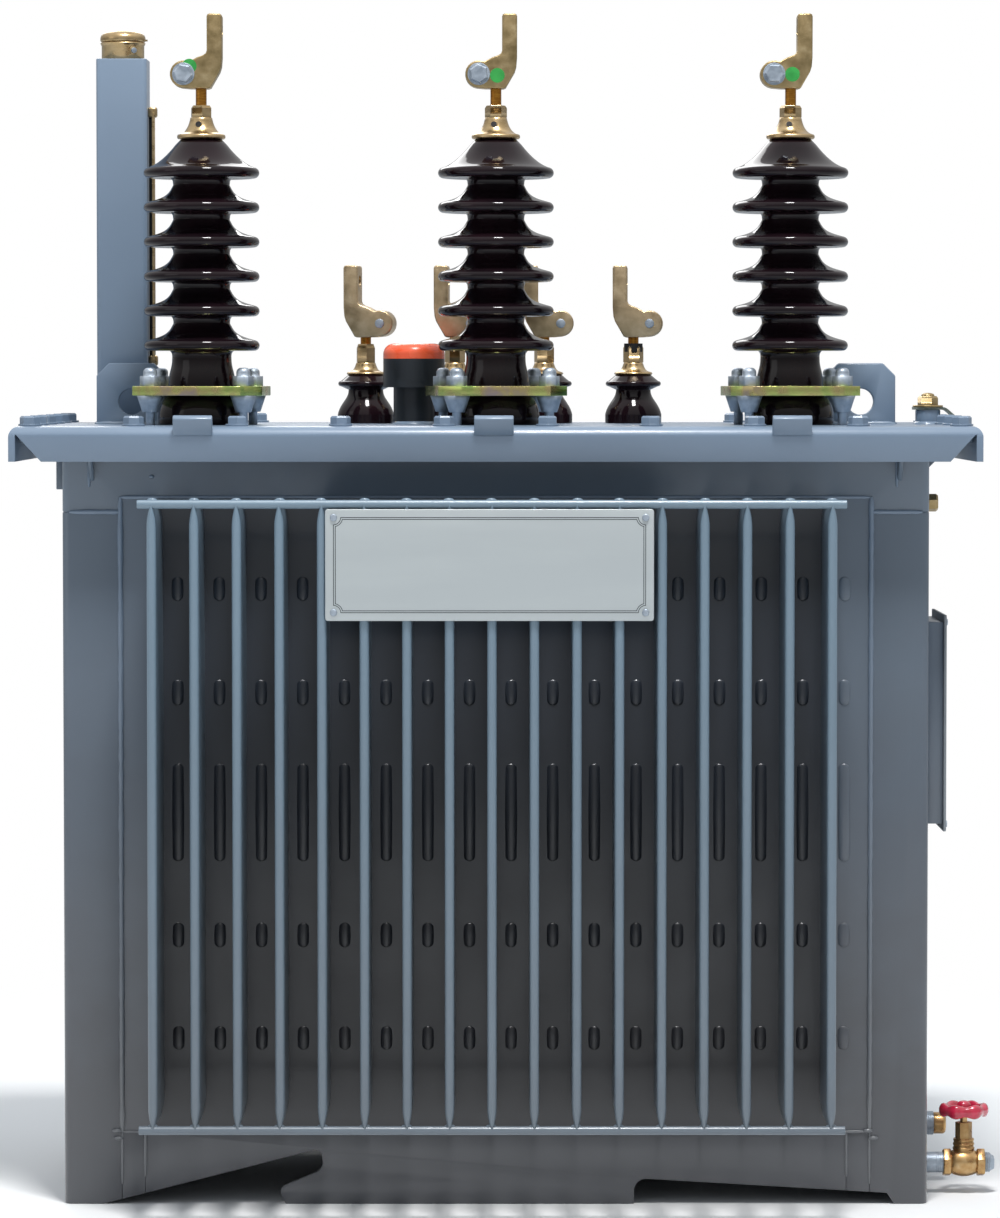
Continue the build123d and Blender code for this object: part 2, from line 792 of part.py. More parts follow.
# Earth terminal on the cover, with a bent strap over the right-hand lip
strap_z = cover_top + earth_boss_height
with BuildPart() as earth_boss:
    with BuildSketch(level(cover_top, earth_x, earth_y)):
        Circle(earth_boss_diameter / 2)
    extrude(amount=earth_boss_height)
write(earth_boss.part, "earth_boss")

half_strap = strap_thickness / 2
strap_side = cover_width / 2 + half_strap
with BuildPart() as earth_strap:
    with BuildLine(upright(y=earth_y)) as strap_path:
        FilletPolyline(
            (earth_x - earth_washer_diameter / 2, strap_z + half_strap),
            (earth_x + earth_boss_diameter / 2 + strap_bend / 2, strap_z + half_strap),
            (strap_side, cover_top),
            (strap_side, lip_bottom + half_strap),
            radius=strap_bend,
        )
    with BuildSketch(Plane(strap_path.line @ 0, x_dir=(0, 1, 0), z_dir=strap_path.line % 0)):
        Rectangle(strap_width, strap_thickness)
    sweep(path=strap_path.line)
write(earth_strap.part, "earth_strap")

with BuildPart() as earth_nuts:
    add_nut(earth_x, earth_y, strap_z + strap_thickness, earth_nut_width, earth_nut_height)
    with BuildSketch(sideways(tank_width / 2, side_bolt_y, side_bolt_z)):
        RegularPolygon(side_bolt_width / 2, 6, major_radius=False)
    extrude(amount=side_bolt_height)
write(earth_nuts.part, "earth_nuts")

# Bare plates: one across the front fins, one on a bracket on the right end wall
with BuildPart() as sign_plate:
    with BuildSketch(upright(sign_x, -tank_depth / 2 - fin_depth, z=sign_top - sign_height / 2)):
        RectangleRounded(sign_width, sign_height, sign_corner)
    extrude(amount=sign_thickness)
write(sign_plate.part, "sign_plate")

with BuildPart() as plate_bracket:
    with BuildSketch(sideways(tank_width / 2, rating_y, rating_z)):
        Rectangle(rating_width - 2 * bracket_inset, rating_height - 2 * bracket_inset)
    extrude(amount=bracket_depth)
write(plate_bracket.part, "plate_bracket")

with BuildPart() as rating_plate:
    with BuildSketch(sideways(tank_width / 2 + bracket_depth, rating_y, rating_z)):
        RectangleRounded(rating_width, rating_height, sign_corner)
    extrude(amount=rating_thickness)
write(rating_plate.part, "rating_plate")

# Drain: a pipe out of the end wall, a valve on it and a plug in the valve's mouth
with BuildPart() as drain_pipe:
    with BuildSketch(sideways(tank_width / 2, valve_y, valve_z)):
        Circle(drain_pipe_diameter / 2)
    extrude(amount=drain_pipe_length)
write(drain_pipe.part, "drain_pipe")

valve_start = tank_width / 2 + drain_pipe_length
gland_bottom = bonnet_top - gland_height
valve_end = valve_start + valve_length
collar_top = valve_z + valve_collar_diameter / 2
neck_top = valve_z + valve_neck_diameter / 2
with BuildPart() as drain_valve:
    with BuildSketch(upright(y=valve_y)):
        with BuildLine():
            inlet = Polyline(
                (valve_start, valve_z),
                (valve_start, collar_top),
                (valve_start + valve_collar_length, collar_top),
                (valve_start + valve_collar_length, neck_top),
            )
            belly = ThreePointArc(
                inlet @ 1,
                (valve_x, valve_z + valve_body_diameter / 2),
                (valve_end - valve_collar_length, neck_top),
            )
            Polyline(
                belly @ 1,
                (valve_end - valve_collar_length, collar_top),
                (valve_end, collar_top),
                (valve_end, valve_z),
                (valve_start, valve_z),
            )
        make_face()
    revolve(axis=Axis((0, mid_y + valve_y, valve_z), (1, 0, 0)))
    with BuildSketch(level(valve_z, valve_x, valve_y)):
        Circle(valve_bonnet_diameter / 2)
    extrude(amount=gland_bottom - valve_z)
    with BuildSketch(level(gland_bottom, valve_x, valve_y)):
        RegularPolygon(gland_width / 2, 6, major_radius=False)
    extrude(amount=gland_height)
    with BuildSketch(level(bonnet_top - stem_depth - 1, valve_x, valve_y)):
        Circle(stem_diameter / 2 + stem_play)
    extrude(amount=stem_depth + 1, mode=Mode.SUBTRACT)
write(drain_valve.part, "drain_valve")

with BuildPart() as outlet_plug:
    with BuildSketch(sideways(valve_start + valve_length, valve_y, valve_z)):
        Circle(outlet_plug_diameter / 2)
    with BuildSketch(sideways(valve_start + valve_length + outlet_plug_length, valve_y, valve_z)):
        Circle(outlet_plug_end / 2)
    loft()
write(outlet_plug.part, "outlet_plug")

# Handwheel on its stem, which turns in the gland
with BuildPart() as valve_stem:
    with BuildSketch(level(bonnet_top - stem_depth, valve_x, valve_y)):
        Circle(stem_diameter / 2)
    extrude(amount=wheel_z - bonnet_top + stem_depth)
write(valve_stem.part, "valve_stem")

with BuildPart() as handwheel:
    with BuildSketch(level(wheel_z, valve_x, valve_y)):
        Circle(wheel_radius - wheel_lobe_radius / 2)
        with PolarLocations(wheel_radius - wheel_lobe_radius, wheel_lobes):
            Circle(wheel_lobe_radius)
        Circle(wheel_radius - wheel_rim_width, mode=Mode.SUBTRACT)
        with PolarLocations(0, wheel_spokes):
            with Locations(((wheel_radius - wheel_rim_width) / 2, 0)):
                Rectangle(wheel_radius - wheel_rim_width / 2, wheel_spoke_width)
    extrude(amount=wheel_thickness)
    with BuildSketch(level(wheel_z, valve_x, valve_y)):
        Circle(wheel_hub_diameter / 2)
    extrude(amount=wheel_hub_height)
write(handwheel.part, "handwheel")

# Upper drain plug
with BuildPart() as plug_nipple:
    with BuildSketch(sideways(tank_width / 2, plug_y, plug_z)):
        Circle(plug_nipple_diameter / 2)
    extrude(amount=plug_nipple_length)
write(plug_nipple.part, "plug_nipple")

with BuildPart() as plug_end:
    with BuildSketch(sideways(tank_width / 2 + plug_nipple_length, plug_y, plug_z)):
        Circle(plug_end_width / 2)
    extrude(amount=plug_end_length)
    fillet(plug_end.faces().sort_by(Axis.X)[-1].edges(), radius=plug_end_round)
write(plug_end.part, "plug_end")
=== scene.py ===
import random
from math import asin, atan2, cos, pi, radians, sin

import bmesh
import bpy
from mathutils import Matrix, Vector


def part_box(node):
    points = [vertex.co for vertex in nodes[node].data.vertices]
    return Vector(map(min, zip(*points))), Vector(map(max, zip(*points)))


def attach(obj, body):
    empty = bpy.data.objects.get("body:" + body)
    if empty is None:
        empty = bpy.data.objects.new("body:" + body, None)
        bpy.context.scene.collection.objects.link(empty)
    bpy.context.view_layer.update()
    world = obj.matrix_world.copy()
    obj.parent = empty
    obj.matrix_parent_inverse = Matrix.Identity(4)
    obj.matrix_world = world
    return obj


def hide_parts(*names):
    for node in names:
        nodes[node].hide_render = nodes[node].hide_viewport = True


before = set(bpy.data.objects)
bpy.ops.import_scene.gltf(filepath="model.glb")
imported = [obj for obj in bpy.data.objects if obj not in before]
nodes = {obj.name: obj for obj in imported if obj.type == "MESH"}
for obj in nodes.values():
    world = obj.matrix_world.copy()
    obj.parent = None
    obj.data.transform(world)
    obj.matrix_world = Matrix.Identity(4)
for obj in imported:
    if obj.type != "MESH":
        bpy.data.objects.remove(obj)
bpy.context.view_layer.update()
random.seed(7)
print("frame loaded,", len(nodes), "nodes")

# Everything below is drawn in millimetres and scaled once, when a piece is finished
toMetres = 0.001
tankBody = "transformer"
wheelBody = "handwheel"
upwards = (0, 0, 1)
rightwards = (1, 0, 0)


def nodeBox(name):
    low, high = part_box(name)
    return low / toMetres, high / toMetres


def middleOf(name):
    low, high = nodeBox(name)
    return [(a + b) / 2 for a, b in zip(low, high)]


# The four corners of a rectangle, each moved inwards
def cornersOf(low, high, inset=0):
    return [(a, b) for a in (low[0] + inset, high[0] - inset) for b in (low[1] + inset, high[1] - inset)]


coverLow, coverHigh = nodeBox("cover")
panelLow, panelHigh = nodeBox("front_wall_panel")
finLow, finHigh = nodeBox("front_fins")
tankX, tankY = middleOf("cover")[:2]
coverTop = coverHigh.z


# Colours and nodes


# sRGB hex to a linear colour
def paint(code):
    channels = [int(code[i:i + 2], 16) / 255 for i in (1, 3, 5)]
    return [c / 12.92 if c <= 0.04045 else ((c + 0.055) / 1.055) ** 2.4 for c in channels] + [1.0]


# The names of all kinds of node begin with ShaderNode, which is left out in the calls
def addNode(tree, kind, settings={}, values={}, links={}, stops=()):
    node = tree.nodes.new("ShaderNode" + kind)
    for key, value in settings.items():
        setattr(node, key, value)
    for key, value in values.items():
        node.inputs[key].default_value = value
    for key, source in links.items():
        tree.links.new(source, node.inputs[key])
    for index, (place, code) in enumerate(stops):
        ramp = node.color_ramp.elements
        stop = ramp[index] if index < 2 else ramp.new(place)
        stop.position = place
        stop.color = paint(code)
    return node


# Values of a noise whose lumps have this size in millimetres
def lumps(size, detail):
    return {"Scale": 1 / (size * toMetres), "Detail": detail}


# Values of a Map Range, which by default reads the stretch where a noise mostly lies
def mapped(low, high, start=0.3, end=0.7):
    return {"From Min": start, "From Max": end, "To Min": low, "To Max": high}


# A named material with an empty tree, and the object's own coordinates in metres
def startMaterial(name):
    material = bpy.data.materials.new(name)
    material.use_nodes = True
    tree = material.node_tree
    tree.nodes.clear()
    place = addNode(tree, "TexCoord").outputs["Object"]
    return material, tree, place


def closeMaterial(material, shader):
    addNode(material.node_tree, "OutputMaterial", links={"Surface": shader.outputs[0]})
    return material


# Polyester powder coat on sheet steel, sprayed and stoved: a satin blue-grey with a faint orange peel
paintLook = dict(base="#788a9e", shade="#718295", patchSize=420, roughness=0.36,
                 dust="#67696c", dustTop=830, dustGain=2.3, dustLeast=0.46, dustMost=0.56, speckSize=70,
                 peelSize=2.5, peelDepth=0.12, waveSize=140, waveDepth=2.5)


def tankPaint(name, **changes):
    look = paintLook | changes
    material, tree, place = startMaterial(name)
    noises = (("patchSize", 3), ("speckSize", 6), ("peelSize", 1), ("waveSize", 1))
    patches, specks, peel, sheet = [
        addNode(tree, "TexNoise", values=lumps(look[size], detail),
                links={"Vector": place}).outputs["Fac"] for size, detail in noises]
    coat = addNode(tree, "ValToRGB", links={"Fac": patches},
                   stops=((0.35, look["shade"]), (0.65, look["base"])))
    # The coat turns darker and greyer towards the bottom, unevenly in specks
    height = addNode(tree, "SeparateXYZ", links={"Vector": place})
    low = addNode(tree, "MapRange", links={"Value": height.outputs["Z"]},
                  values=mapped(0.0, look["dustGain"], look["dustTop"] * toMetres, 0.0))
    patchy = addNode(tree, "MapRange", links={"Value": specks},
                      values=mapped(look["dustLeast"], look["dustMost"]))
    dustAmount = addNode(tree, "Math", settings={"operation": "MULTIPLY", "use_clamp": True},
                         links={0: low.outputs["Result"], 1: patchy.outputs["Result"]})
    # inputs 6 and 7 of a Mix node are its two colours, and output 2 the mixed one
    dusty = addNode(tree, "Mix", settings={"data_type": "RGBA"}, values={7: paint(look["dust"])},
                    links={0: dustAmount.outputs[0], 6: coat.outputs["Color"]})
    gloss = addNode(tree, "MapRange", links={"Value": specks},
                    values=mapped(look["roughness"] - 0.04, look["roughness"] + 0.07))
    wave = addNode(tree, "Bump", links={"Height": sheet},
                   values={"Strength": 0.25, "Distance": look["waveDepth"] * toMetres})
    skin = addNode(tree, "Bump", links={"Height": peel, "Normal": wave.outputs["Normal"]},
                   values={"Strength": 0.3, "Distance": look["peelDepth"] * toMetres})
    return closeMaterial(material, addNode(
        tree, "BsdfPrincipled", values={"IOR": 1.5, "Coat Weight": 0.4, "Coat Roughness": 0.16},
        links={"Base Color": dusty.outputs[2], "Roughness": gloss.outputs["Result"],
               "Normal": skin.outputs["Normal"]}))


# A colour that drifts in patches under its own gloss, with a fine relief in its skin
def surface(name, look, coarse, fine, rough, depth, values):
    material, tree, place = startMaterial(name)
    grain = addNode(tree, "Mapping", values={"Scale": look.get("stretch", (1, 1, 1))},
                    links={"Vector": place}).outputs["Vector"]
    patches, relief = [addNode(tree, "TexNoise", values=noise, links={"Vector": grain}).outputs["Fac"]
                       for noise in (coarse, fine)]
    colour = addNode(tree, "ValToRGB", links={"Fac": patches}, stops=look["colours"])
    gloss = addNode(tree, "MapRange", links={"Value": patches}, values=mapped(*rough))
    bump = addNode(tree, "Bump", links={"Height": relief},
                   values={"Strength": look["bump"], "Distance": depth * toMetres})
    return closeMaterial(material, addNode(
        tree, "BsdfPrincipled", values=values,
        links={"Base Color": colour.outputs["Color"], "Roughness": gloss.outputs["Result"],
               "Normal": bump.outputs["Normal"]}))


# A metal with its grain: cast, plated, drawn or brushed by what its settings say
def metal(name, metallic=1.0, **look):
    rough = look["roughness"]
    return surface(name, look, lumps(look["blotchSize"], 4), lumps(look["grainSize"], 2),
                   (rough - 0.08, rough + 0.08), 0.3, {"Metallic": metallic})


# Glazed, moulded or printed surface: one colour under its own gloss, a little uneven
def glossy(name, ior=1.5, shine=0.5, coat=0.0, **look):
    rough = look["roughness"]
    return surface(name, look, lumps(look["cloudSize"], 3), lumps(look["rippleSize"], 1),
                   (rough * 0.8, rough * 1.3), 0.5,
                   {"IOR": ior, "Specular IOR Level": shine, "Coat Weight": coat, "Coat Roughness": 0.04})


materials = dict(
    tank=tankPaint("powder coated steel"),
    # The walls, skirts and sheets under the cover get a darker, less blue copy of the cover's coat: painted
    # shade
    wallCoat=tankPaint("powder coated walls, painted shade", base="#667483", shade="#616f7d", dust="#505155"),
    # The fins' copy of the coat keeps its blue further down: it turns darker and greyer only from lower down
    finCoat=tankPaint("powder coated fins", base="#778b9a", shade="#708391", dust="#667079", dustTop=620),
    # The same coat painted much darker deep between the fins: painted shade in the folds
    foldShade=tankPaint("powder coated steel, painted fold shade", base="#363f4b", shade="#323a45", dust="#2c2c30"),
    # Fired brown glaze on porcelain: nearly black, red-brown where it thins
    porcelain=glossy("brown glazed porcelain", colours=((0.3, "#100a0e"), (0.7, "#1d1015")), cloudSize=60,
                     rippleSize=30, roughness=0.08, bump=0.12, ior=1.54, shine=0.22),
    # Yellow chromate over zinc: straw gold that drifts to green and violet
    yellowZinc=metal("yellow chromated zinc", blotchSize=26, grainSize=2, roughness=0.24, bump=0.08,
                     colours=((0.3, "#8fb263"), (0.45, "#bfc877"), (0.6, "#bfae78"), (0.72, "#a8968f"))),
    # Clear chromated zinc on fasteners: dull bluish silver
    zinc=metal("zinc plated steel", colours=((0.35, "#96a1ad"), (0.65, "#b2bcc7")), blotchSize=9,
               grainSize=0.9, roughness=0.46, bump=0.12, metallic=0.75),
    # Sand cast brass, tumbled: dull olive gold with a pebbled skin
    castBrass=metal("sand cast brass", colours=((0.3, "#938059"), (0.55, "#a8936c"), (0.75, "#b8a682")),
                    blotchSize=14, grainSize=1.3, roughness=0.4, bump=0.3),
    # The low side castings come from a paler melt
    paleBrass=metal("pale sand cast brass", colours=((0.3, "#b09a78"), (0.55, "#c6b08e"), (0.75, "#d2bf9f")),
                    blotchSize=14, grainSize=1.3, roughness=0.4, bump=0.3),
    # Turned brass: brighter, with tool lines
    turnedBrass=metal("turned brass", colours=((0.3, "#a89068"), (0.7, "#c0a983")), blotchSize=18,
                      grainSize=0.8, stretch=(1, 1, 3), roughness=0.3, bump=0.05),
    # Rolled copper gone brown in the open, with its threads as faint lines
    copper=metal("tarnished copper stud", colours=((0.3, "#8f5a22"), (0.7, "#b98436")), blotchSize=8,
                 grainSize=0.7, stretch=(1, 1, 5), roughness=0.34, bump=0.2),
    # Bronze as it leaves the mould: warm gold with browner patches
    bronze=metal("cast valve bronze", colours=((0.3, "#a07a52"), (0.55, "#bb9868"), (0.75, "#cdb288")),
                 blotchSize=10, grainSize=1.1, roughness=0.3, bump=0.25),
    # Copper strip dipped in tin: dull grey with a wrinkled skin
    tinned=metal("tinned copper strip", colours=((0.35, "#6f776f"), (0.65, "#9aa097")), blotchSize=7,
                 grainSize=0.8, roughness=0.4, bump=0.35),
    # Nylon from a spark eroded mould: half matt black with a fine texture
    black=glossy("black moulded nylon", colours=((0.3, "#14181d"), (0.7, "#1f252b")), cloudSize=25,
                 rippleSize=1.2, roughness=0.38, bump=0.25),
    # Acetal from a polished mould: clear orange, nearly glossy
    orange=glossy("orange moulded acetal", colours=((0.3, "#f65833"), (0.7, "#ff7049")), cloudSize=30,
                  rippleSize=9, roughness=0.25, bump=0.1, ior=1.48, coat=0.2),
    # Enamel that the wheel was dipped in: a thick, wet looking red
    redEnamel=glossy("red dipped enamel", colours=((0.3, "#ad1331"), (0.7, "#d0244a")), cloudSize=9,
                     rippleSize=5, roughness=0.2, bump=0.3, coat=0.8),
    # Glass of the gauge with oil behind it: nearly black, clear gloss
    glass=glossy("gauge glass over dark oil", colours=((0.3, "#0e1110"), (0.7, "#1c1a14")), cloudSize=40,
                 rippleSize=15, roughness=0.06, bump=0.02),
    # Anodised sheet brushed along its length: pale satin silver, part hidden by the oxide
    plate=metal("anodised aluminium plate", colours=((0.35, "#b7bdbe"), (0.65, "#bfc5c5")), blotchSize=60,
                grainSize=0.8, stretch=(0.15, 1, 1), roughness=0.42, bump=0.06, metallic=0.25),
    # Rolled sheet left outdoors: even grey with little shine
    darkPlate=metal("weathered aluminium plate", colours=((0.35, "#848a8f"), (0.65, "#8c9297")),
                    blotchSize=60, grainSize=0.9, roughness=0.42, bump=0.1, metallic=0.5),
    # Printing ink: flat black
    border=glossy("black screen print", colours=((0.3, "#20262a"), (0.7, "#2a3034")), cloudSize=20,
                  rippleSize=6, roughness=0.5, bump=0.05, ior=1.45),
    # Dyed paper, glued on: flat green with a slight cockle
    sticker=glossy("green paper label", colours=((0.3, "#2a8c3c"), (0.7, "#38a64a")), cloudSize=12,
                   rippleSize=3, roughness=0.55, bump=0.2, ior=1.45),
    # Painted shade: near black, for the inside of a hole and for a dark band of shade, giving next to no
    # light back
    shadow=glossy("painted hole shade", colours=((0.3, "#0a0809"), (0.7, "#100d0e")), cloudSize=10, rippleSize=3,
                  roughness=0.6, bump=0.1, ior=1.45),
)
print("materials made")


# Making pieces


def addObject(name, data):
    thing = bpy.data.objects.new(name, data)
    bpy.context.scene.collection.objects.link(thing)
    return thing


# Hands a bmesh over as a mesh
def keepForm(bm, name):
    mesh = bpy.data.meshes.new(name)
    bm.to_mesh(mesh)
    bm.free()
    return mesh


def stamp(bm, form, matrix=Matrix.Identity(4)):
    copy = form.copy()
    copy.transform(matrix)
    bm.from_mesh(copy)
    bpy.data.meshes.remove(copy)


# Takes a bmesh drawn in millimetres, makes it a piece and lets it ride on its body
def finishPiece(name, bm, look, body=tankBody, stands=(), smooth=38, recalc=True):
    bmesh.ops.remove_doubles(bm, verts=bm.verts, dist=0.001)
    if recalc:
        bmesh.ops.recalc_face_normals(bm, faces=bm.faces)
    bmesh.ops.scale(bm, vec=(toMetres,) * 3, verts=bm.verts)
    mesh = keepForm(bm, name)
    mesh.shade_smooth()
    mesh.set_sharp_from_angle(angle=radians(smooth))
    for key in ((look,) if isinstance(look, str) else look):
        mesh.materials.append(materials[key])
    piece = addObject(name, mesh)
    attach(piece, body)
    if stands:
        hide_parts(*stands)
    return piece


def vertsOf(geom):
    return [g for g in geom if isinstance(g, bmesh.types.BMVert)]


def edgesOf(verts):
    return list({e for v in verts for e in v.link_edges})


def wholeOf(bm):
    return bm.verts[:] + bm.edges[:] + bm.faces[:]


def bevelEdges(bm, edges, radius, segments):
    bmesh.ops.bevel(bm, geom=edges, offset=radius, affect="EDGES", segments=segments, profile=0.5,
                    material=-1, clamp_overlap=True)


# The same form as a CAD node, with its hard edges rounded off as bent, cast or deburred metal has them
rounding = dict(merge=0.003, flatUnder=0.8, hardOver=30)


def roundOff(node, name, look, radius, segments=2):
    bm = bmesh.new()
    bm.from_mesh(nodes[node].data)
    bmesh.ops.scale(bm, vec=(1 / toMetres,) * 3, verts=bm.verts)
    bmesh.ops.remove_doubles(bm, verts=bm.verts, dist=rounding["merge"])
    bmesh.ops.dissolve_limit(bm, angle_limit=radians(rounding["flatUnder"]), verts=bm.verts, edges=bm.edges)
    least = radians(rounding["hardOver"])
    bevelEdges(bm, [e for e in bm.edges if len(e.link_faces) == 2 and e.calc_face_angle() > least], radius,
               segments)
    return finishPiece(name, bm, look, stands=(node,), recalc=False)


# Turns points of (radius, height) round a vertical axis at x, y
def turn(bm, profile, x, y, z=0.0, steps=64, closed=False):
    points = [bm.verts.new((x + r, y, z + h)) for r, h in profile]
    ends = list(zip(points, points[1:])) + ([(points[-1], points[0])] if closed else [])
    edges = [bm.edges.new(pair) for pair in ends]
    bmesh.ops.spin(bm, geom=points + edges, cent=(x, y, 0), axis=upwards, angle=2 * pi, steps=steps,
                   use_merge=True, use_duplicate=False)


def placed(point, direction, spin=0.0):
    aim = Vector(direction).to_track_quat("Z", "Y").to_matrix().to_4x4()
    return Matrix.Translation(point) @ aim @ Matrix.Rotation(spin, 4, "Z")


# A rod or cone that starts at a point; edge is the radius that its rims are rounded with
def addRod(bm, point, direction, radius, length, top=None, sides=32, spin=0.0, edge=0.0, rounds=2):
    middle = Vector(point) + Vector(direction).normalized() * length / 2
    verts = bmesh.ops.create_cone(bm, cap_ends=True, segments=sides, radius1=radius,
                                  radius2=radius if top is None else top, depth=length,
                                  matrix=placed(middle, direction, spin))["verts"]
    if edge:
        bevelEdges(bm, edgesOf(verts), edge, rounds)
    return verts


def addBlock(bm, low, high, edge=0.0, rounds=2):
    size = Vector(high) - Vector(low)
    matrix = Matrix.Translation((Vector(high) + Vector(low)) / 2) @ Matrix.Diagonal((*size, 1))
    verts = bmesh.ops.create_cube(bm, size=1.0, matrix=matrix)["verts"]
    if edge:
        bevelEdges(bm, edgesOf(verts), edge, rounds)


# A hexagon head or nut on its washer, with the corners of its top chamfered
boltHead = dict(straight=0.78, chamfer=0.84, washerEdge=0.4)


def addBolt(bm, point, direction, bolt, spin=0.0):
    along = Vector(direction).normalized()
    seat = Vector(point)
    if bolt.get("washer"):
        addRod(bm, seat, along, bolt["washer"] / 2, bolt["washerHeight"], sides=28,
               edge=boltHead["washerEdge"], rounds=1)
        seat = seat + along * bolt["washerHeight"]
    reach = bolt["across"] / 2 / cos(pi / 6)
    straight = bolt["height"] * boltHead["straight"]
    addRod(bm, seat, along, reach, straight, sides=6, spin=spin)
    addRod(bm, seat + along * straight, along, reach, bolt["height"] - straight, sides=6, spin=spin,
           top=reach * boltHead["chamfer"])


def arc(cx, cz, radius, start, end, steps):
    angles = [radians(start + (end - start) * i / steps) for i in range(steps + 1)]
    return [(cx + radius * cos(a), cz + radius * sin(a)) for a in angles]


# The points between the two ends of a curve with two handles
def bezier(p0, p1, p2, p3, steps):
    points = []
    for i in range(1, steps):
        t = i / steps
        points.append(tuple((1 - t) ** 3 * a + 3 * (1 - t) ** 2 * t * b + 3 * (1 - t) * t * t * c + t ** 3 * d
                            for a, b, c, d in zip(p0, p1, p2, p3)))
    return points


# Between the fins the panel takes the painted fold shade; its strips beside the outermost fins lie open to
# the light and keep the colour of the walls
def openEdges(piece):
    bm = bmesh.new()
    bm.from_mesh(piece.data)
    middle = (finLow.x + finHigh.x) / 2 * toMetres
    reach = (finHigh.x - finLow.x) / 2 * toMetres
    for hand in (-1, 1):
        bmesh.ops.bisect_plane(bm, geom=wholeOf(bm), plane_co=(middle + hand * reach, 0, 0),
                               plane_no=rightwards)
    for face in bm.faces:
        face.material_index = int(abs(face.calc_center_median().x - middle) > reach)
    bm.to_mesh(piece.data)
    bm.free()


# Sheet metal of the tank, each plate with its bent or sawn edges rounded
sheetEdges = dict(left_end_wall=1.2, right_end_wall=1.2, corner_foot_plates=0.8, front_skirt=1.0,
                  rear_skirt=1.0, front_wall_panel=0.6, rear_wall_panel=0.6, tank_floor=0.6, top_frame=1.2,
                  flange_gussets=1.0, cover=1.3, edge_tabs=1.2, left_lifting_lug=1.6, right_lifting_lug=1.6,
                  filler_pipe=1.0, earth_boss=1.2, plate_bracket=1.0)
lowerSheets = ("corner_foot_plates", "tank_floor", "top_frame", "flange_gussets")
for node, radius in sheetEdges.items():
    isPanel = "panel" in node
    isWall = "wall" in node or "skirt" in node
    # Walls, skirts and the lower sheets take the walls' darker copy of the coat, painted shade, and the
    # panels the painted fold shade between the fins
    look = "wallCoat" if isWall or node in lowerSheets else "tank"
    piece = roundOff(node, node + ("_plate" if isWall else "_painted"),
                     ("foldShade", "wallCoat") if isPanel else look, radius)
    if isPanel:
        openEdges(piece)
print("sheet metal rounded")

# Fins: deep folds of thin sheet with a round nose, pressed together and welded at both ends
fin = dict(count=17, pitch=45, width=10, noseRound=5, noseSteps=10, pinch=24, pinchWidth=2.2, endRows=7)
firstFin = finLow.x + fin["width"] / 2
finPlaces = [firstFin + index * fin["pitch"] for index in range(fin["count"])]


def finOutline(bm, width, z):
    half = width / 2
    nose = [(half * cos(a), finLow.y + fin["noseRound"] * (1 - sin(a))) for a in
            [pi * step / fin["noseSteps"] for step in range(fin["noseSteps"] + 1)]]
    return [bm.verts.new((x, y, z)) for x, y in [(half, panelLow.y), *nose, (-half, panelLow.y)]]


def makeFins(name, node, mirrored):
    bm = bmesh.new()
    rows = []
    for step in range(fin["endRows"] + 1):
        share = step / fin["endRows"]
        spread = fin["pinchWidth"] + (fin["width"] - fin["pinchWidth"]) * sin(share * pi / 2)
        rows.append((spread, share * fin["pinch"]))
    loops = [finOutline(bm, w, finLow.z + rise) for w, rise in rows]
    loops += [finOutline(bm, w, finHigh.z - rise) for w, rise in reversed(rows)]
    for below, above in zip(loops, loops[1:]):
        bmesh.ops.bridge_loops(bm, edges=[bm.edges.get(p) or bm.edges.new(p) for loop in (below, above)
                                          for p in zip(loop, loop[1:])])
    for loop in (loops[0], loops[-1]):
        bm.faces.new(loop)
    bmesh.ops.translate(bm, vec=(firstFin, 0, 0), verts=bm.verts)
    one = wholeOf(bm)
    for index in range(1, fin["count"]):
        copy = bmesh.ops.duplicate(bm, geom=one)["geom"]
        bmesh.ops.translate(bm, vec=(index * fin["pitch"], 0, 0), verts=vertsOf(copy))
    if mirrored:
        bmesh.ops.scale(bm, vec=(1, -1, 1), verts=bm.verts)
        bmesh.ops.translate(bm, vec=(0, 2 * tankY, 0), verts=bm.verts)
    finishPiece(name, bm, "finCoat", stands=(node,), smooth=50)


makeFins("front_fin_folds", "front_fins", False)
makeFins("rear_fin_folds", "rear_fins", True)
print("fins folded")

# Stay rods with a bead of weld where each fin meets them
rod = dict(radius=4.75, edge=0.8, bead=4.6, beadShape=(1.25, 0.8, 0.55), beadUp=0.92, beadIn=1.6, stray=0.8)
rodLow, rodHigh = nodeBox("fin_stay_rods")
beadBlank = bmesh.new()
bmesh.ops.create_icosphere(beadBlank, subdivisions=2, radius=rod["bead"])
bmesh.ops.scale(beadBlank, vec=rod["beadShape"], verts=beadBlank.verts)
beadForm = keepForm(beadBlank, "rod bead")
bm = bmesh.new()
for y, z in cornersOf(rodLow.yz, rodHigh.yz, rod["radius"]):
    addRod(bm, (rodLow.x, y, z), rightwards, rod["radius"], rodHigh.x - rodLow.x, sides=24,
           edge=rod["edge"], rounds=1)
    inward = rod["beadIn"] if y < tankY else -rod["beadIn"]
    for x in finPlaces:
        along = x + random.uniform(-rod["stray"], rod["stray"])
        stamp(bm, beadForm, Matrix.Translation((along, y + inward, z + rod["radius"] * rod["beadUp"])))
finishPiece("fin_rods_welded", bm, "finCoat", stands=("fin_stay_rods",))

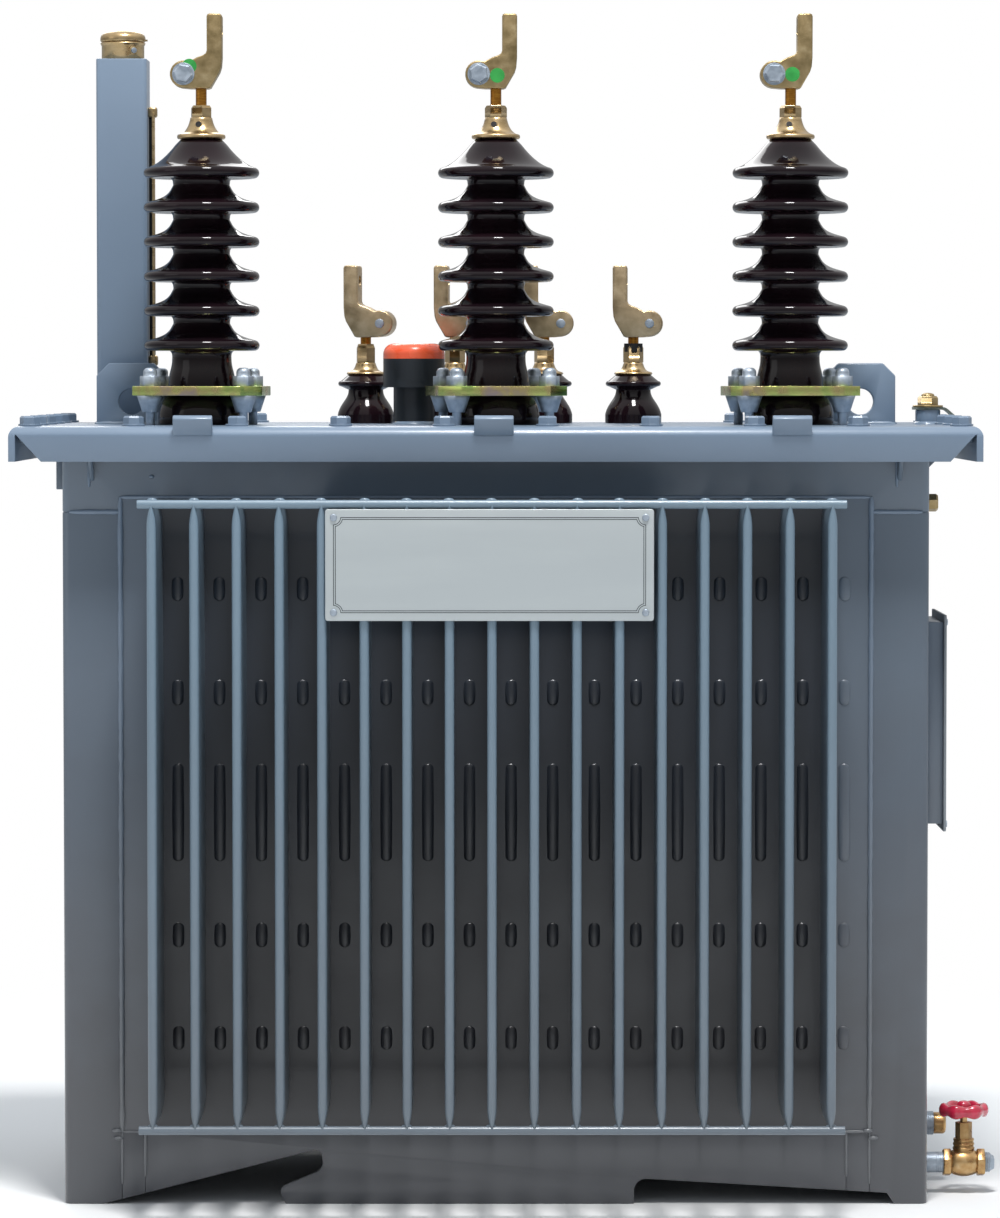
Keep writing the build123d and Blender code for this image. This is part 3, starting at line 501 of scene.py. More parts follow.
# Ovals pressed out of the panel between the fins, to stiffen it: the height and length of each row
oval = dict(width=13, rise=1.9, rows=((668, 26), (556, 28), (426, 106), (293, 27), (181, 26)), shift=-2)
bm = bmesh.new()
for z, length in oval["rows"]:
    form = bmesh.new()
    bmesh.ops.create_uvsphere(form, u_segments=20, v_segments=8, radius=oval["width"] / 2)
    for v in form.verts:
        v.co.z += (length - oval["width"]) / 2 * (1 if v.co.z > 0.01 else -1 if v.co.z < -0.01 else 0)
    bmesh.ops.scale(form, vec=(1, oval["rise"] * 2 / oval["width"], 1), verts=form.verts)
    form = keepForm(form, "oval")
    for y in (panelLow.y, 2 * tankY - panelLow.y):
        for x in finPlaces:
            stamp(bm, form, Matrix.Translation((x + fin["pitch"] / 2 + oval["shift"], y, z)))
# Ovals between the fins take the painted fold shade, the ones beyond the last fin the walls' coat
for face in bm.faces:
    face.material_index = int(face.calc_center_median().x > finHigh.x)
finishPiece("pressed_ovals", bm, ("foldShade", "wallCoat"), smooth=80)
print("panel details made")

# Hexagon bolts with washers all round the cover
coverBolt = dict(across=19, height=8.5, washer=25, washerHeight=2.2)
boltRow = dict(longCount=10, shortCount=4, insetX=21, insetY=26)
reachX = (coverHigh.x - coverLow.x) / 2 - boltRow["insetX"]
reachY = (coverHigh.y - coverLow.y) / 2 - boltRow["insetY"]
stepX = 2 * reachX / (boltRow["longCount"] - 1)
stepY = 2 * reachY / (boltRow["shortCount"] + 1)
bm = bmesh.new()
for side in (-1, 1):
    for index in range(boltRow["longCount"]):
        x = tankX + (index - (boltRow["longCount"] - 1) / 2) * stepX
        addBolt(bm, (x, tankY + side * reachY, coverTop), upwards, coverBolt, spin=random.uniform(0, 1))
    for index in range(boltRow["shortCount"]):
        y = tankY + (index - (boltRow["shortCount"] - 1) / 2) * stepY
        addBolt(bm, (tankX + side * reachX, y, coverTop), upwards, coverBolt, spin=random.uniform(0, 1))
finishPiece("cover_bolts", bm, "tank")
print("cover bolted")

# High voltage bushings: a new turned form, with drip edges under the sheds
hv = dict(sheds=6, pitch=37.8, topShed=1120, shedRadius=63.5, coreRadius=30.5, rim=5.8, top=1157,
          crown=23, neck=37.5, belly=48, ring=876, ringThickness=10.5, drip=1.08)
hvCentres = [middleOf(f"hv_bushing_{index + 1}")[:2] for index in range(3)]
lvCentres = [middleOf(f"lv_bushing_{index + 1}")[:2] for index in range(4)]


def hvProfile():
    ringTop = hv["ring"] + hv["ringThickness"]
    collar = hv["neck"] - 0.6
    points = [(0, coverTop), (hv["belly"] - 1.5, coverTop), (hv["belly"], coverTop + 2)]
    points += bezier((hv["belly"], coverTop + 4), (hv["belly"] + 0.5, coverTop + 20),
                     (hv["neck"] + 6, hv["ring"] - 4), (hv["neck"] + 1, hv["ring"] - 0.5), 8)
    points += [(collar, hv["ring"]), (collar, ringTop + 1)]
    rimX = hv["shedRadius"] - hv["rim"]
    for shed in range(hv["sheds"]):
        first, last = shed == 0, shed == hv["sheds"] - 1
        tip = hv["topShed"] - (hv["sheds"] - 1 - shed) * hv["pitch"]
        under = tip - hv["rim"]
        core = hv["coreRadius"] + (2 if first else 0.6)
        if first:
            points += bezier(points[-1], (hv["neck"] - 1.5, ringTop + 20), (core, under - 22),
                             (core, under - 6), 7)
        points += [(core, under - 6)]
        points += bezier(points[-1], (core, under - 1.5), (core + 2, under + 0.6), (core + 7, under + 0.8), 4)
        points += [(rimX - 6, under + hv["drip"]), (rimX - 2.5, under + 0.3)]
        points += arc(rimX, tip, hv["rim"], -90, 68, 9)
        shoulder = tip + hv["rim"] + 2.4
        if last:
            endX, endZ = hv["crown"], hv["top"] - 1.5
            points += bezier(points[-1], (rimX - 9, shoulder), (endX + 14, endZ - 17), (endX + 1.5, endZ), 10)
            points += [(endX + 0.5, endZ)]
        else:
            endX, endZ = hv["coreRadius"] + 0.6, under + hv["pitch"] - 8
            points += bezier(points[-1], (rimX - 7, shoulder), (endX + 5, shoulder + 2.1),
                             (endX + 1.5, tip + 22), 10)
            points += [(endX, endZ)]
    return points + [(hv["crown"] - 1, hv["top"]), (0, hv["top"])]


for index, (x, y) in enumerate(hvCentres):
    bm = bmesh.new()
    turn(bm, hvProfile(), x, y, steps=72)
    finishPiece(f"hv_porcelain_{index + 1}", bm, "porcelain",
                stands=(f"hv_bushing_{index + 1}",), smooth=60)
print("bushings turned")


# Takes the second form out of the first, and hands back what is left
def drill(bm, tool):
    blank, bit = addObject("blank", keepForm(bm, "blank")), addObject("bit", keepForm(tool, "bit"))
    cut = blank.modifiers.new("bore", "BOOLEAN")
    cut.operation = "DIFFERENCE"
    cut.solver = "EXACT"
    cut.object = bit
    left = bmesh.new()
    left.from_object(blank, bpy.context.evaluated_depsgraph_get())
    bpy.data.objects.remove(blank)
    bpy.data.objects.remove(bit)
    return left


# Terminal clamps: sand castings with a machined blade, drawn once and set on every stud
clamp = dict(depth=28, edge=1.5, crease=35, lean=0.09, lugX=-18.7, lugZ=15.9, lugRadius=14.9,
             boreRadius=6.5, boreZ=64, boreFrom=-10, boreLength=50)
clampOutline = [(8, 0), (10.7, 1), (20.6, 18.2), (22.4, 24), (23.2, 34), (23.3, 78.6), (22.4, 81),
                (20.2, 81.9), (9.8, 81.9), (7.6, 81), (6.8, 78.6), (6.8, 41.5), (5.7, 38.6), (2.8, 36.6),
                (-4, 34.2)]
clampOutline += arc(clamp["lugX"], clamp["lugZ"], clamp["lugRadius"], 66, 262, 13) + [(-12, 0.3)]

bm = bmesh.new()
face = bm.faces.new([bm.verts.new((x, -clamp["depth"] / 2, z)) for x, z in clampOutline])
grown = bmesh.ops.extrude_face_region(bm, geom=[face])["geom"]
bmesh.ops.translate(bm, vec=(0, clamp["depth"], 0), verts=vertsOf(grown))
bmesh.ops.recalc_face_normals(bm, faces=bm.faces)
bevelEdges(bm, [e for e in bm.edges if abs(e.verts[0].co.y - e.verts[1].co.y) < 0.01], clamp["edge"], 3)
bmesh.ops.bisect_plane(bm, geom=wholeOf(bm), plane_co=(0, 0, clamp["crease"]), plane_no=upwards)
for v in bm.verts:
    if v.co.z < clamp["crease"]:
        v.co.y *= 1 - clamp["lean"] * (1 - v.co.z / clamp["crease"])
bore = bmesh.new()
addRod(bore, (clamp["boreFrom"], 0, clamp["boreZ"]), rightwards, clamp["boreRadius"], clamp["boreLength"])
clampForm = keepForm(drill(bm, bore), "clamp")


# Where a clamp stands and how far it is turned, as a matrix
def clampAt(x, y, z, yaw):
    return Matrix.Translation((x, y, z)) @ Matrix.Rotation(radians(yaw), 4, "Z")


lvYaws = (170, 176, 180, 177)
hvClampZ, lvClampZ = nodeBox("hv_terminal_1")[0].z, nodeBox("lv_terminals")[0].z
hvSpots = [clampAt(x, y, hvClampZ, 0) for x, y in hvCentres]
lvSpots = [clampAt(x, y, lvClampZ, yaw) for (x, y), yaw in zip(lvCentres, lvYaws)]


def castClamps(name, look, node, spots):
    bm = bmesh.new()
    for spot in spots:
        stamp(bm, clampForm, spot)
    finishPiece(name, bm, look, stands=(node,), recalc=False)


for index, spot in enumerate(hvSpots):
    castClamps(f"hv_clamp_casting_{index + 1}", "castBrass", f"hv_terminal_{index + 1}", [spot])
castClamps("lv_clamp_castings", "paleBrass", "lv_terminals", lvSpots)

# Pinch bolts through the lugs: heads to the front on the high side, their ends on the low side
pinchBolt = dict(across=19, height=7.5, washer=24.6, washerHeight=1.8, end=5.3, endLength=5.2, sunk=3,
                 face=13.37)
bm = bmesh.new()
for spots, spins in ((hvSpots, (0.35, 0.1, 0.5)), (lvSpots, (0.2, 0.7, 0.4, 0.9))):
    for spot, spin in zip(spots, spins):
        outward = spot.to_3x3() @ Vector((0, -1, 0))
        head = spot @ Vector((clamp["lugX"], -pinchBolt["face"], clamp["lugZ"]))
        tail = spot @ Vector((clamp["lugX"], pinchBolt["face"] - pinchBolt["sunk"], clamp["lugZ"]))
        addBolt(bm, head, outward, pinchBolt, spin=spin)
        addRod(bm, tail, -outward, pinchBolt["end"], pinchBolt["endLength"], sides=20, edge=1.0)
finishPiece("pinch_bolts", bm, "zinc")

# Round paper labels on the high side castings, left blank
label = dict(radius=8, thick=0.25, sunk=0.6, places=((-12.2, 24.5), (1.6, 14.4), (1.2, 15.6)))
bm = bmesh.new()
for spot, (along, rise) in zip(hvSpots, label["places"]):
    half = clamp["depth"] / 2 * (1 - clamp["lean"] * (1 - rise / clamp["crease"]))
    addRod(bm, spot @ Vector((along, label["sunk"] - half, rise)), (0, -1, -0.06), label["radius"],
           label["thick"] + label["sunk"], sides=36)
finishPiece("blank_labels", bm, "sticker")

# Turned caps over the porcelain with a hexagon above, and studs up to the clamps
hvCap = dict(rim=26.5, rimHeight=5.2, waist=11.6, bell=24, hexAcross=21, hexHeight=13,
             spins=(0.15, 0.52, 0.4))
lvCap = dict(rim=21.8, rimHeight=3.4, waist=10.6, bell=14.5, hexAcross=20, hexHeight=21,
             spins=(0.1, 0.5, 0.3, 0.6))
stud = dict(radius=6, intoCap=2, intoClamp=8)
hvTop, lvTop = nodeBox("hv_caps")[0].z, nodeBox("lv_caps")[0].z


def capProfile(cap):
    edge, rise, neck, top = cap["rim"], cap["rimHeight"], cap["waist"] + 0.4, cap["bell"]
    points = [(0, 0), (edge - 1.2, 0), (edge, 1.2), (edge, rise - 2), (edge - 0.7, rise - 0.6),
              (edge - 2.2, rise)]
    points += bezier(points[-1], (edge - 8, rise + 1.2), (neck + 2, top * 0.5), (neck, top - 1), 12)
    return points + [(neck, top - 1), (neck - 1, top - 0.2), (0, top - 0.2)]


studs = bmesh.new()
for side, centres, cap, top, reach in (("hv", hvCentres, hvCap, hvTop, hvClampZ),
                                       ("lv", lvCentres, lvCap, lvTop, lvClampZ)):
    bm = bmesh.new()
    hexagon = dict(across=cap["hexAcross"], height=cap["hexHeight"])
    foot = top + cap["bell"] + cap["hexHeight"] - stud["intoCap"]
    for (x, y), spin in zip(centres, cap["spins"]):
        turn(bm, capProfile(cap), x, y, top, steps=56)
        addBolt(bm, (x, y, top + cap["bell"] - 0.4), upwards, hexagon, spin=spin)
        addRod(studs, (x, y, foot), upwards, stud["radius"], reach + stud["intoClamp"] - foot, sides=28)
    finishPiece(f"{side}_turned_caps", bm, "turnedBrass", stands=(f"{side}_caps",),
                smooth=42)
finishPiece("terminal_studs", studs, "copper")

# Vent holes in the high side caps, near black plugs of painted shade in brass rims, and a band of painted
# shade on the last low side hexagon
vent = dict(radius=3.3, rise=15.5, swing=-9, out=14, tilt=0.34, sunk=2, length=2.7, rim=1.0, rimLength=2.4)
shadeBand = dict(radius=10.6, length=9.7, down=9.5)
paintedShade, rings = bmesh.new(), bmesh.new()
out = Vector((sin(radians(vent["swing"])), -cos(radians(vent["swing"])), 0))
aim = (out + Vector((0, 0, vent["tilt"]))).normalized()
for x, y in hvCentres:
    seat = Vector((x, y, hvTop + vent["rise"])) + out * vent["out"] - aim * vent["sunk"]
    addRod(paintedShade, seat, aim, vent["radius"], vent["length"], sides=24)
    addRod(rings, seat, aim, vent["radius"] + vent["rim"], vent["rimLength"], sides=24, edge=0.5, rounds=1)
shadeBandFoot = lvTop + lvCap["bell"] + lvCap["hexHeight"] - shadeBand["down"]
addRod(paintedShade, (*lvCentres[3], shadeBandFoot), upwards, shadeBand["radius"], shadeBand["length"], sides=28)
finishPiece("painted_hole_shade", paintedShade, "shadow")
finishPiece("vent_rims", rings, "turnedBrass")
print("terminals made")

# Filler cap: a brass collar with a rolled lip and a domed lid, held by a set screw
filler = dict(collar=24, collarHeight=15.5, lid=25.5, lidFrom=23.6, lidTop=34, screwSwing=32, screwUp=9.5,
              boss=5.2, bossOut=22, bossLength=3.2, screw=3.2, screwOut=24, screwLength=3.4,
              hasp=((22, -8, 20.4), (28.2, -5, 22.4)))
fillerX, fillerY = middleOf("filler_cap")[:2]
fillerZ = nodeBox("filler_cap")[0].z
collar, lid = filler["collar"], filler["lid"]
profile = [(0, 0), (collar - 0.6, 0), (collar, 0.8), (collar, filler["collarHeight"]), (24.7, 16.6),
           (25.4, 18.2), (24.9, 19.2), (23.6, 19.7), (24.9, 20.2), (lid, 21.4), (lid, filler["lidFrom"])]
profile += bezier((lid, filler["lidFrom"]), (25.3, 28.5), (21, 31), (14, 32.6), 7)
profile += [(14, 32.6), (7, 33.7), (0, filler["lidTop"])]
swing = radians(filler["screwSwing"])
out = Vector((sin(swing), -cos(swing), 0))
seat = Vector((fillerX, fillerY, fillerZ))
middle = seat + Vector((0, 0, filler["screwUp"]))
bm = bmesh.new()
turn(bm, profile, fillerX, fillerY, fillerZ, steps=56)
finishPiece("filler_cap_turned", bm, "turnedBrass", stands=("filler_cap",), smooth=45)
bm = bmesh.new()
addRod(bm, middle + out * filler["bossOut"], out, filler["boss"], filler["bossLength"], sides=24, edge=0.8)
addBlock(bm, *[seat + Vector(corner) for corner in filler["hasp"]])
finishPiece("filler_lid_hasp", bm, "turnedBrass")
bm = bmesh.new()
addRod(bm, middle + out * filler["screwOut"], out, filler["screw"], filler["screwLength"], sides=20,
       edge=1.0)
finishPiece("filler_set_screw", bm, "zinc")

# Level gauge: a glass tube behind a brass guard, between two brass elbows
gauge = dict(glass=3.2, glassIn=3.6, elbow=12, elbowWide=13, proud=0.4, strip=2, stripIn=4.2, stripOut=7,
             inside=6)
gaugeLow, gaugeHigh = nodeBox("level_gauge")
gaugeY = (gaugeLow.y + gaugeHigh.y) / 2
glassFoot, glassTop = gaugeLow.z + gauge["inside"], gaugeHigh.z - gauge["inside"]
bm = bmesh.new()
for z in (gaugeLow.z, gaugeHigh.z - gauge["elbow"]):
    addBlock(bm, (gaugeLow.x - gauge["proud"], gaugeY - gauge["elbowWide"] / 2, z),
             (gaugeHigh.x, gaugeY + gauge["elbowWide"] / 2, z + gauge["elbow"]), edge=2.6, rounds=3)
for y in (gaugeLow.y, gaugeHigh.y - gauge["strip"]):
    addBlock(bm, (gaugeLow.x + gauge["stripIn"], y, glassFoot),
             (gaugeLow.x + gauge["stripOut"], y + gauge["strip"], glassTop), edge=0.4, rounds=1)
finishPiece("gauge_guard", bm, "turnedBrass", stands=("level_gauge",))
bm = bmesh.new()
addRod(bm, (gaugeLow.x + gauge["glassIn"], gaugeY, glassFoot), upwards, gauge["glass"],
       glassTop - glassFoot, sides=20)
finishPiece("gauge_glass", bm, "glass", smooth=60)
print("filler and gauge made")

# Front plate: bare, with a fine double line and notched corners, held by four screws
sign = dict(inset=8.4, notch=7.8, notchSteps=8, line=0.7, gap=1.3, proud=0.12, sunk=0.3, screw=4.2,
            screwInset=8.8)
rating = dict(screw=3.6, screwInset=8)
signLow, signHigh = nodeBox("sign_plate")
signMid = (signLow + signHigh) / 2


# A rectangle with a quarter circle taken out of each corner, grown outwards by extra
def notchedLoop(bm, extra):
    halfX = (signHigh.x - signLow.x) / 2 - sign["inset"]
    halfZ = (signHigh.z - signLow.z) / 2 - sign["inset"]
    radius = sign["notch"] + extra
    dip = asin(extra / radius)
    verts = []
    for quarter, (sideX, sideZ) in enumerate(((1, 1), (-1, 1), (-1, -1), (1, -1))):
        for step in range(sign["notchSteps"] + 1):
            angle = (quarter + 3) * pi / 2 - dip - (pi / 2 - 2 * dip) * step / sign["notchSteps"]
            x, z = sideX * halfX + radius * cos(angle), sideZ * halfZ + radius * sin(angle)
            verts.append(bm.verts.new((signMid.x + x, signLow.y - sign["proud"], signMid.z + z)))
    return [bm.edges.new((a, b)) for a, b in zip(verts, verts[1:] + verts[:1])]


bm = bmesh.new()
for start in (0.01, sign["line"] + sign["gap"]):
    edges = notchedLoop(bm, start) + notchedLoop(bm, start + sign["line"])
    band = bmesh.ops.bridge_loops(bm, edges=edges)["faces"]
    grown = bmesh.ops.extrude_face_region(bm, geom=band)["geom"]
    bmesh.ops.translate(bm, vec=(0, sign["proud"] + sign["sunk"], 0), verts=vertsOf(grown))
finishPiece("plate_border", bm, "border")
bm = bmesh.new()
for x, z in cornersOf(signLow.xz, signHigh.xz, sign["screwInset"]):
    addRod(bm, (x, signLow.y + 1, z), (0, -1, 0), sign["screw"], 2.8, top=sign["screw"] * 0.8, sides=24,
           edge=0.5)
ratingLow, ratingHigh = nodeBox("rating_plate")
for y, z in cornersOf(ratingLow.yz, ratingHigh.yz, rating["screwInset"]):
    addRod(bm, (ratingHigh.x - 1, y, z), rightwards, rating["screw"], 2.6, sides=20, edge=0.7)
finishPiece("plate_screws", bm, "zinc")
roundOff("sign_plate", "bare_front_plate", "plate", 0.5)
roundOff("rating_plate", "bare_rating_plate", "darkPlate", 0.5)
print("plates made")

# Handwheel: a dipped iron casting with six knuckles, three spokes and a domed hub
wheel = dict(radius=27, knuckles=6, knuckle=1.9, tube=4.9, tubeSwell=0.4, tall=6.8, tallSwell=1.1, rimUp=7.2,
             drawnRadius=22, rings=108, sides=14, spokes=3, spoke=3.6, spokeLength=20, spokeFlat=0.9)
hub = [(0, -7), (6.6, -7), (7.6, -6), (8, 0), (7.8, 5.6)]
hub += bezier(hub[-1], (7.4, 9), (4, 10.4), (0.1, 10.6), 6) + [(0, 10.6)]
wheelX, wheelY = middleOf("valve_stem")[:2]
bm = bmesh.new()
tube = bmesh.ops.create_circle(bm, segments=wheel["sides"], radius=1.0, matrix=Matrix.Translation(
    (wheel["drawnRadius"], 0, 0)) @ Matrix.Rotation(pi / 2, 4, "X"))["verts"]
bmesh.ops.spin(bm, geom=tube + edgesOf(tube), cent=(0, 0, 0), axis=upwards, angle=2 * pi,
               steps=wheel["rings"], use_merge=True, use_duplicate=False)
for v in bm.verts:
    angle = atan2(v.co.y, v.co.x)
    swell = cos(wheel["knuckles"] * angle)
    across = v.co.xy.length - wheel["drawnRadius"]
    reach = wheel["radius"] - wheel["tube"] - wheel["knuckle"] * (0.5 - 0.5 * swell)
    radial = reach + across * (wheel["tube"] + wheel["tubeSwell"] * swell)
    v.co = (radial * cos(angle), radial * sin(angle), v.co.z * (wheel["tall"] + wheel["tallSwell"] * swell))
for index in range(wheel["spokes"]):
    angle = 2 * pi * index / wheel["spokes"]
    spoke = addRod(bm, (0, 0, 0), (cos(angle), sin(angle), 0), wheel["spoke"], wheel["spokeLength"], sides=14)
    bmesh.ops.scale(bm, vec=(1, 1, wheel["spokeFlat"]), verts=spoke)
turn(bm, hub, 0, 0, steps=28)
bmesh.ops.translate(bm, vec=(wheelX, wheelY, nodeBox("handwheel")[0].z + wheel["rimUp"]), verts=bm.verts)
finishPiece("handwheel_casting", bm, "redEnamel", wheelBody, ("handwheel",), smooth=60)

# Valve: its cast body rounded, with rolled rings on its neck and flats at both ends
# Each ring has its height over the pipe, its outer radius and the radius of its wire
valve = dict(rings=((15.5, 12.2, 2.2), (20.4, 11.9, 1.8), (25.0, 11.5, 1.5)), collarAcross=28,
             collarLength=8.5, collarProud=0.3, collarSpin=0.26)
valveLow, valveHigh = nodeBox("drain_valve")
valveZ = middleOf("drain_pipe")[2]
roundOff("drain_valve", "valve_casting", "bronze", 0.8)
bm = bmesh.new()
for rise, radius, wire in valve["rings"]:
    turn(bm, arc(radius - wire, valveZ + rise, wire, 0, 324, 9), wheelX, wheelY, steps=40, closed=True)
for start in (valveLow.x - valve["collarProud"], valveHigh.x - valve["collarLength"] + valve["collarProud"]):
    addRod(bm, (start, wheelY, valveZ), rightwards, valve["collarAcross"] / 2 / cos(pi / 6),
           valve["collarLength"], sides=6, spin=valve["collarSpin"], edge=1.1)
finishPiece("valve_rings_and_flats", bm, "bronze", smooth=50)

# Galvanised pieces: a tapered plug with a square head, and threads beside the fittings
plug = dict(thread=11.4, pitch=2.2, taper=0.2, threads=3, squareStart=5, squareRoot=11.07, squareTip=8.2)
plugLow, plugHigh = nodeBox("outlet_plug")
profile = [(0, 0)]
for step in range(plug["threads"]):
    start = step * plug["pitch"]
    profile += [(plug["thread"] - 0.9, start), (plug["thread"] - plug["taper"] * step, start + 1.1)]
profile += [(plug["thread"] - 1.6, 6.6), (9.2, 7.4), (0, 7.4)]
bm = bmesh.new()
turn(bm, profile, 0, 0, steps=32)
bmesh.ops.rotate(bm, cent=(0, 0, 0), matrix=Matrix.Rotation(pi / 2, 3, "Y"), verts=bm.verts)
bmesh.ops.translate(bm, vec=(plugLow.x, wheelY, valveZ), verts=bm.verts)
addRod(bm, (plugLow.x + plug["squareStart"], wheelY, valveZ), rightwards, plug["squareRoot"],
       plugHigh.x - plugLow.x - plug["squareStart"], top=plug["squareTip"], sides=4, spin=pi / 4 + 0.2,
       edge=0.9)
finishPiece("outlet_plug_squared", bm, "zinc", stands=("outlet_plug",), smooth=40)

# Of each pipe: its node, its radius at the thread and how many turns show
threaded = (("plug_nipple", 12.9, 5), ("drain_pipe", 11.2, 4))
thread = dict(pitch=2.2, start=1.0, length=1.2, crest=0.4, root=0.7)
bm = bmesh.new()
for node, radius, turns in threaded:
    y, z = middleOf(node)[1:]
    for step in range(turns):
        x = nodeBox(node)[1].x - thread["pitch"] * step - thread["start"]
        addRod(bm, (x, y, z), (-1, 0, 0), radius + thread["crest"], thread["length"],
               top=radius - thread["root"], sides=36)
finishPiece("pipe_threads", bm, "zinc")
roundOff("plug_end", "plug_end_cast", "bronze", 1.2, 3)
print("valve made")

# Earthing: a domed brass nut on its washer over the strap, and a bolt on the right end wall
earthWasher = dict(radius=17, height=2.4, sunk=0.4)
earthNut = dict(across=20, height=10.5, up=1.8, domeUp=11.6)
dome = [(0, 0), (7.4, 0), (7.4, 1.4)] + bezier((7.4, 1.4), (7.2, 3.4), (4, 4.2), (0.1, 4.3), 5) + [(0, 4.3)]
sideBolt = dict(across=17, height=10, washer=22, washerHeight=2, forward=170, z=760)
earthX, earthY = middleOf("earth_boss")[:2]
strapTop = nodeBox("earth_strap")[1].z
bm = bmesh.new()
addRod(bm, (earthX, earthY, strapTop - earthWasher["sunk"]), upwards, earthWasher["radius"],
       earthWasher["height"], sides=36, edge=0.6, rounds=1)
addBolt(bm, (earthX, earthY, strapTop + earthNut["up"]), upwards, earthNut, spin=0.3)
turn(bm, dome, earthX, earthY, strapTop + earthNut["domeUp"], steps=24)
addBolt(bm, (nodeBox("plug_nipple")[0].x, tankY - sideBolt["forward"], sideBolt["z"]), rightwards,
        sideBolt, spin=0.2)
finishPiece("earth_fasteners", bm, "castBrass", stands=("earth_nuts",))

# Weld beads: along the seams of the walls and round whatever stands on the cover
weld = dict(step=7, sides=8, wobble=0.14, firstSize=0.6, lastSize=0.5, panelFoot=1.7, panelTop=1.9)
standing = dict(left_lifting_lug=3.2, right_lifting_lug=3.2, filler_pipe=2.6)
tabs = dict(middles=(-323, -2, 316), half=20, down=6, inside=3, radius=2.2)
gusset = dict(out=435.5, half=3, foot=778, top=818, radius=1.8)
blob = dict(heights=(1, -7), stray=(-2, 6), speck=(-371, 789), speckShape=(0.5, 0.6, 0.9, 1))


def addBead(seams, start, end, radius):
    bm = bmesh.new()
    start, end = Vector(start), Vector(end)
    steps = max(2, round((end - start).length / weld["step"]))
    stride = (end - start) / steps
    ring = bmesh.ops.create_circle(bm, cap_ends=True, segments=weld["sides"],
                                   radius=radius * weld["firstSize"],
                                   matrix=placed(start, end - start))["verts"]
    edges = edgesOf(ring)
    at = start.copy()
    size = weld["firstSize"]
    for step in range(steps):
        grown = bmesh.ops.extrude_edge_only(bm, edges=edges)["geom"]
        verts = vertsOf(grown)
        edges = [g for g in grown if isinstance(g, bmesh.types.BMEdge)]
        bmesh.ops.translate(bm, vec=stride, verts=verts)
        at = at + stride
        last = step == steps - 1
        wanted = weld["lastSize"] if last else 1 + random.uniform(-weld["wobble"], weld["wobble"])
        bmesh.ops.scale(bm, vec=(wanted / size,) * 3, space=Matrix.Translation(-at), verts=verts)
        size = wanted
    bmesh.ops.contextual_create(bm, geom=edges)
    stamp(seams, keepForm(bm, "bead"))


wallLow, wallHigh = nodeBox("left_end_wall")
foot, top, step = panelLow.z, panelHigh.z, wallHigh.z
# At each corner post: how far inside the seam and how high both ends of a bead are, and its radius
cornerBeads = ((0, foot, 0, top, 2.9), (wallLow.x + 8 - panelLow.x, step, 0, step, 2.5),
               (25, 30, 25, foot, 1.7), (0, 22, 0, foot, 1.5))
bm = bmesh.new()
for y in (wallLow.y, wallHigh.y):
    for hand in (-1, 1):
        seam = tankX + hand * (tankX - panelLow.x)
        for startIn, startZ, endIn, endZ, radius in cornerBeads:
            addBead(bm, (seam - hand * startIn, y, startZ), (seam - hand * endIn, y, endZ), radius)
        for rise in blob["heights"]:
            stray = hand * random.uniform(*blob["stray"])
            stamp(bm, beadForm, Matrix.Translation((seam + stray, y, foot + rise)))
    addBead(bm, (panelLow.x, y, foot), (panelHigh.x, y, foot), weld["panelFoot"])
    addBead(bm, (panelLow.x, y, top), (panelHigh.x, y, top), weld["panelTop"])
for node, radius in standing.items():
    low, high = nodeBox(node)
    corners = [(x, y, coverTop) for x, y in cornersOf(low.xy, high.xy)]
    for a, b in ((0, 2), (1, 3), (0, 1), (2, 3)):
        addBead(bm, corners[a], corners[b], radius)
tabY, tabZ = nodeBox("edge_tabs")[1].y - tabs["inside"], coverTop - tabs["down"]
for middle in tabs["middles"]:
    left, right = tankX + middle - tabs["half"], tankX + middle + tabs["half"]
    addBead(bm, (left, tabY, tabZ), (right, tabY, tabZ), tabs["radius"])
for hand in (-1, 1):
    for y, side in ((wallLow.y, -1), (wallHigh.y, 1)):
        x = tankX + hand * gusset["out"] + side * gusset["half"]
        addBead(bm, (x, y, gusset["foot"]), (x, y, gusset["top"]), gusset["radius"])
for node, reach in (("earth_boss", 14), ("indicator_body", 23)):
    fillet = [(reach - 1, 3.4), (reach + 0.8, 2.6), (reach + 2.6, 0.9), (reach + 3.2, -1), (reach - 1, -1)]
    turn(bm, fillet, *middleOf(node)[:2], coverTop, steps=40, closed=True)
speckX, speckZ = blob["speck"]
stamp(bm, beadForm, Matrix.Translation((tankX + speckX, wallLow.y, speckZ))
      @ Matrix.Diagonal(blob["speckShape"]))
finishPiece("weld_beads", bm, "tank", smooth=60)
print("welds laid")

# Clamp studs and rings of the bushings, with their edges broken
roundOff("hv_clamp_studs", "clamp_stud_set", "zinc", 0.5, 1)
for index in range(3):
    roundOff(f"hv_clamp_ring_{index + 1}", f"clamp_flange_{index + 1}", "yellowZinc", 2.2, 3)

# CAD nodes that keep their form and get their finish
finishes = dict(indicator_body="black", indicator_cap="orange", earth_strap="tinned", drain_pipe="zinc",
                plug_nipple="zinc", valve_stem="bronze")
finishes |= {f"lv_bushing_{index + 1}": "porcelain" for index in range(4)}
for node, key in finishes.items():
    mesh = nodes[node].data
    mesh.materials.clear()
    mesh.materials.append(materials[key])
print("finishes set")

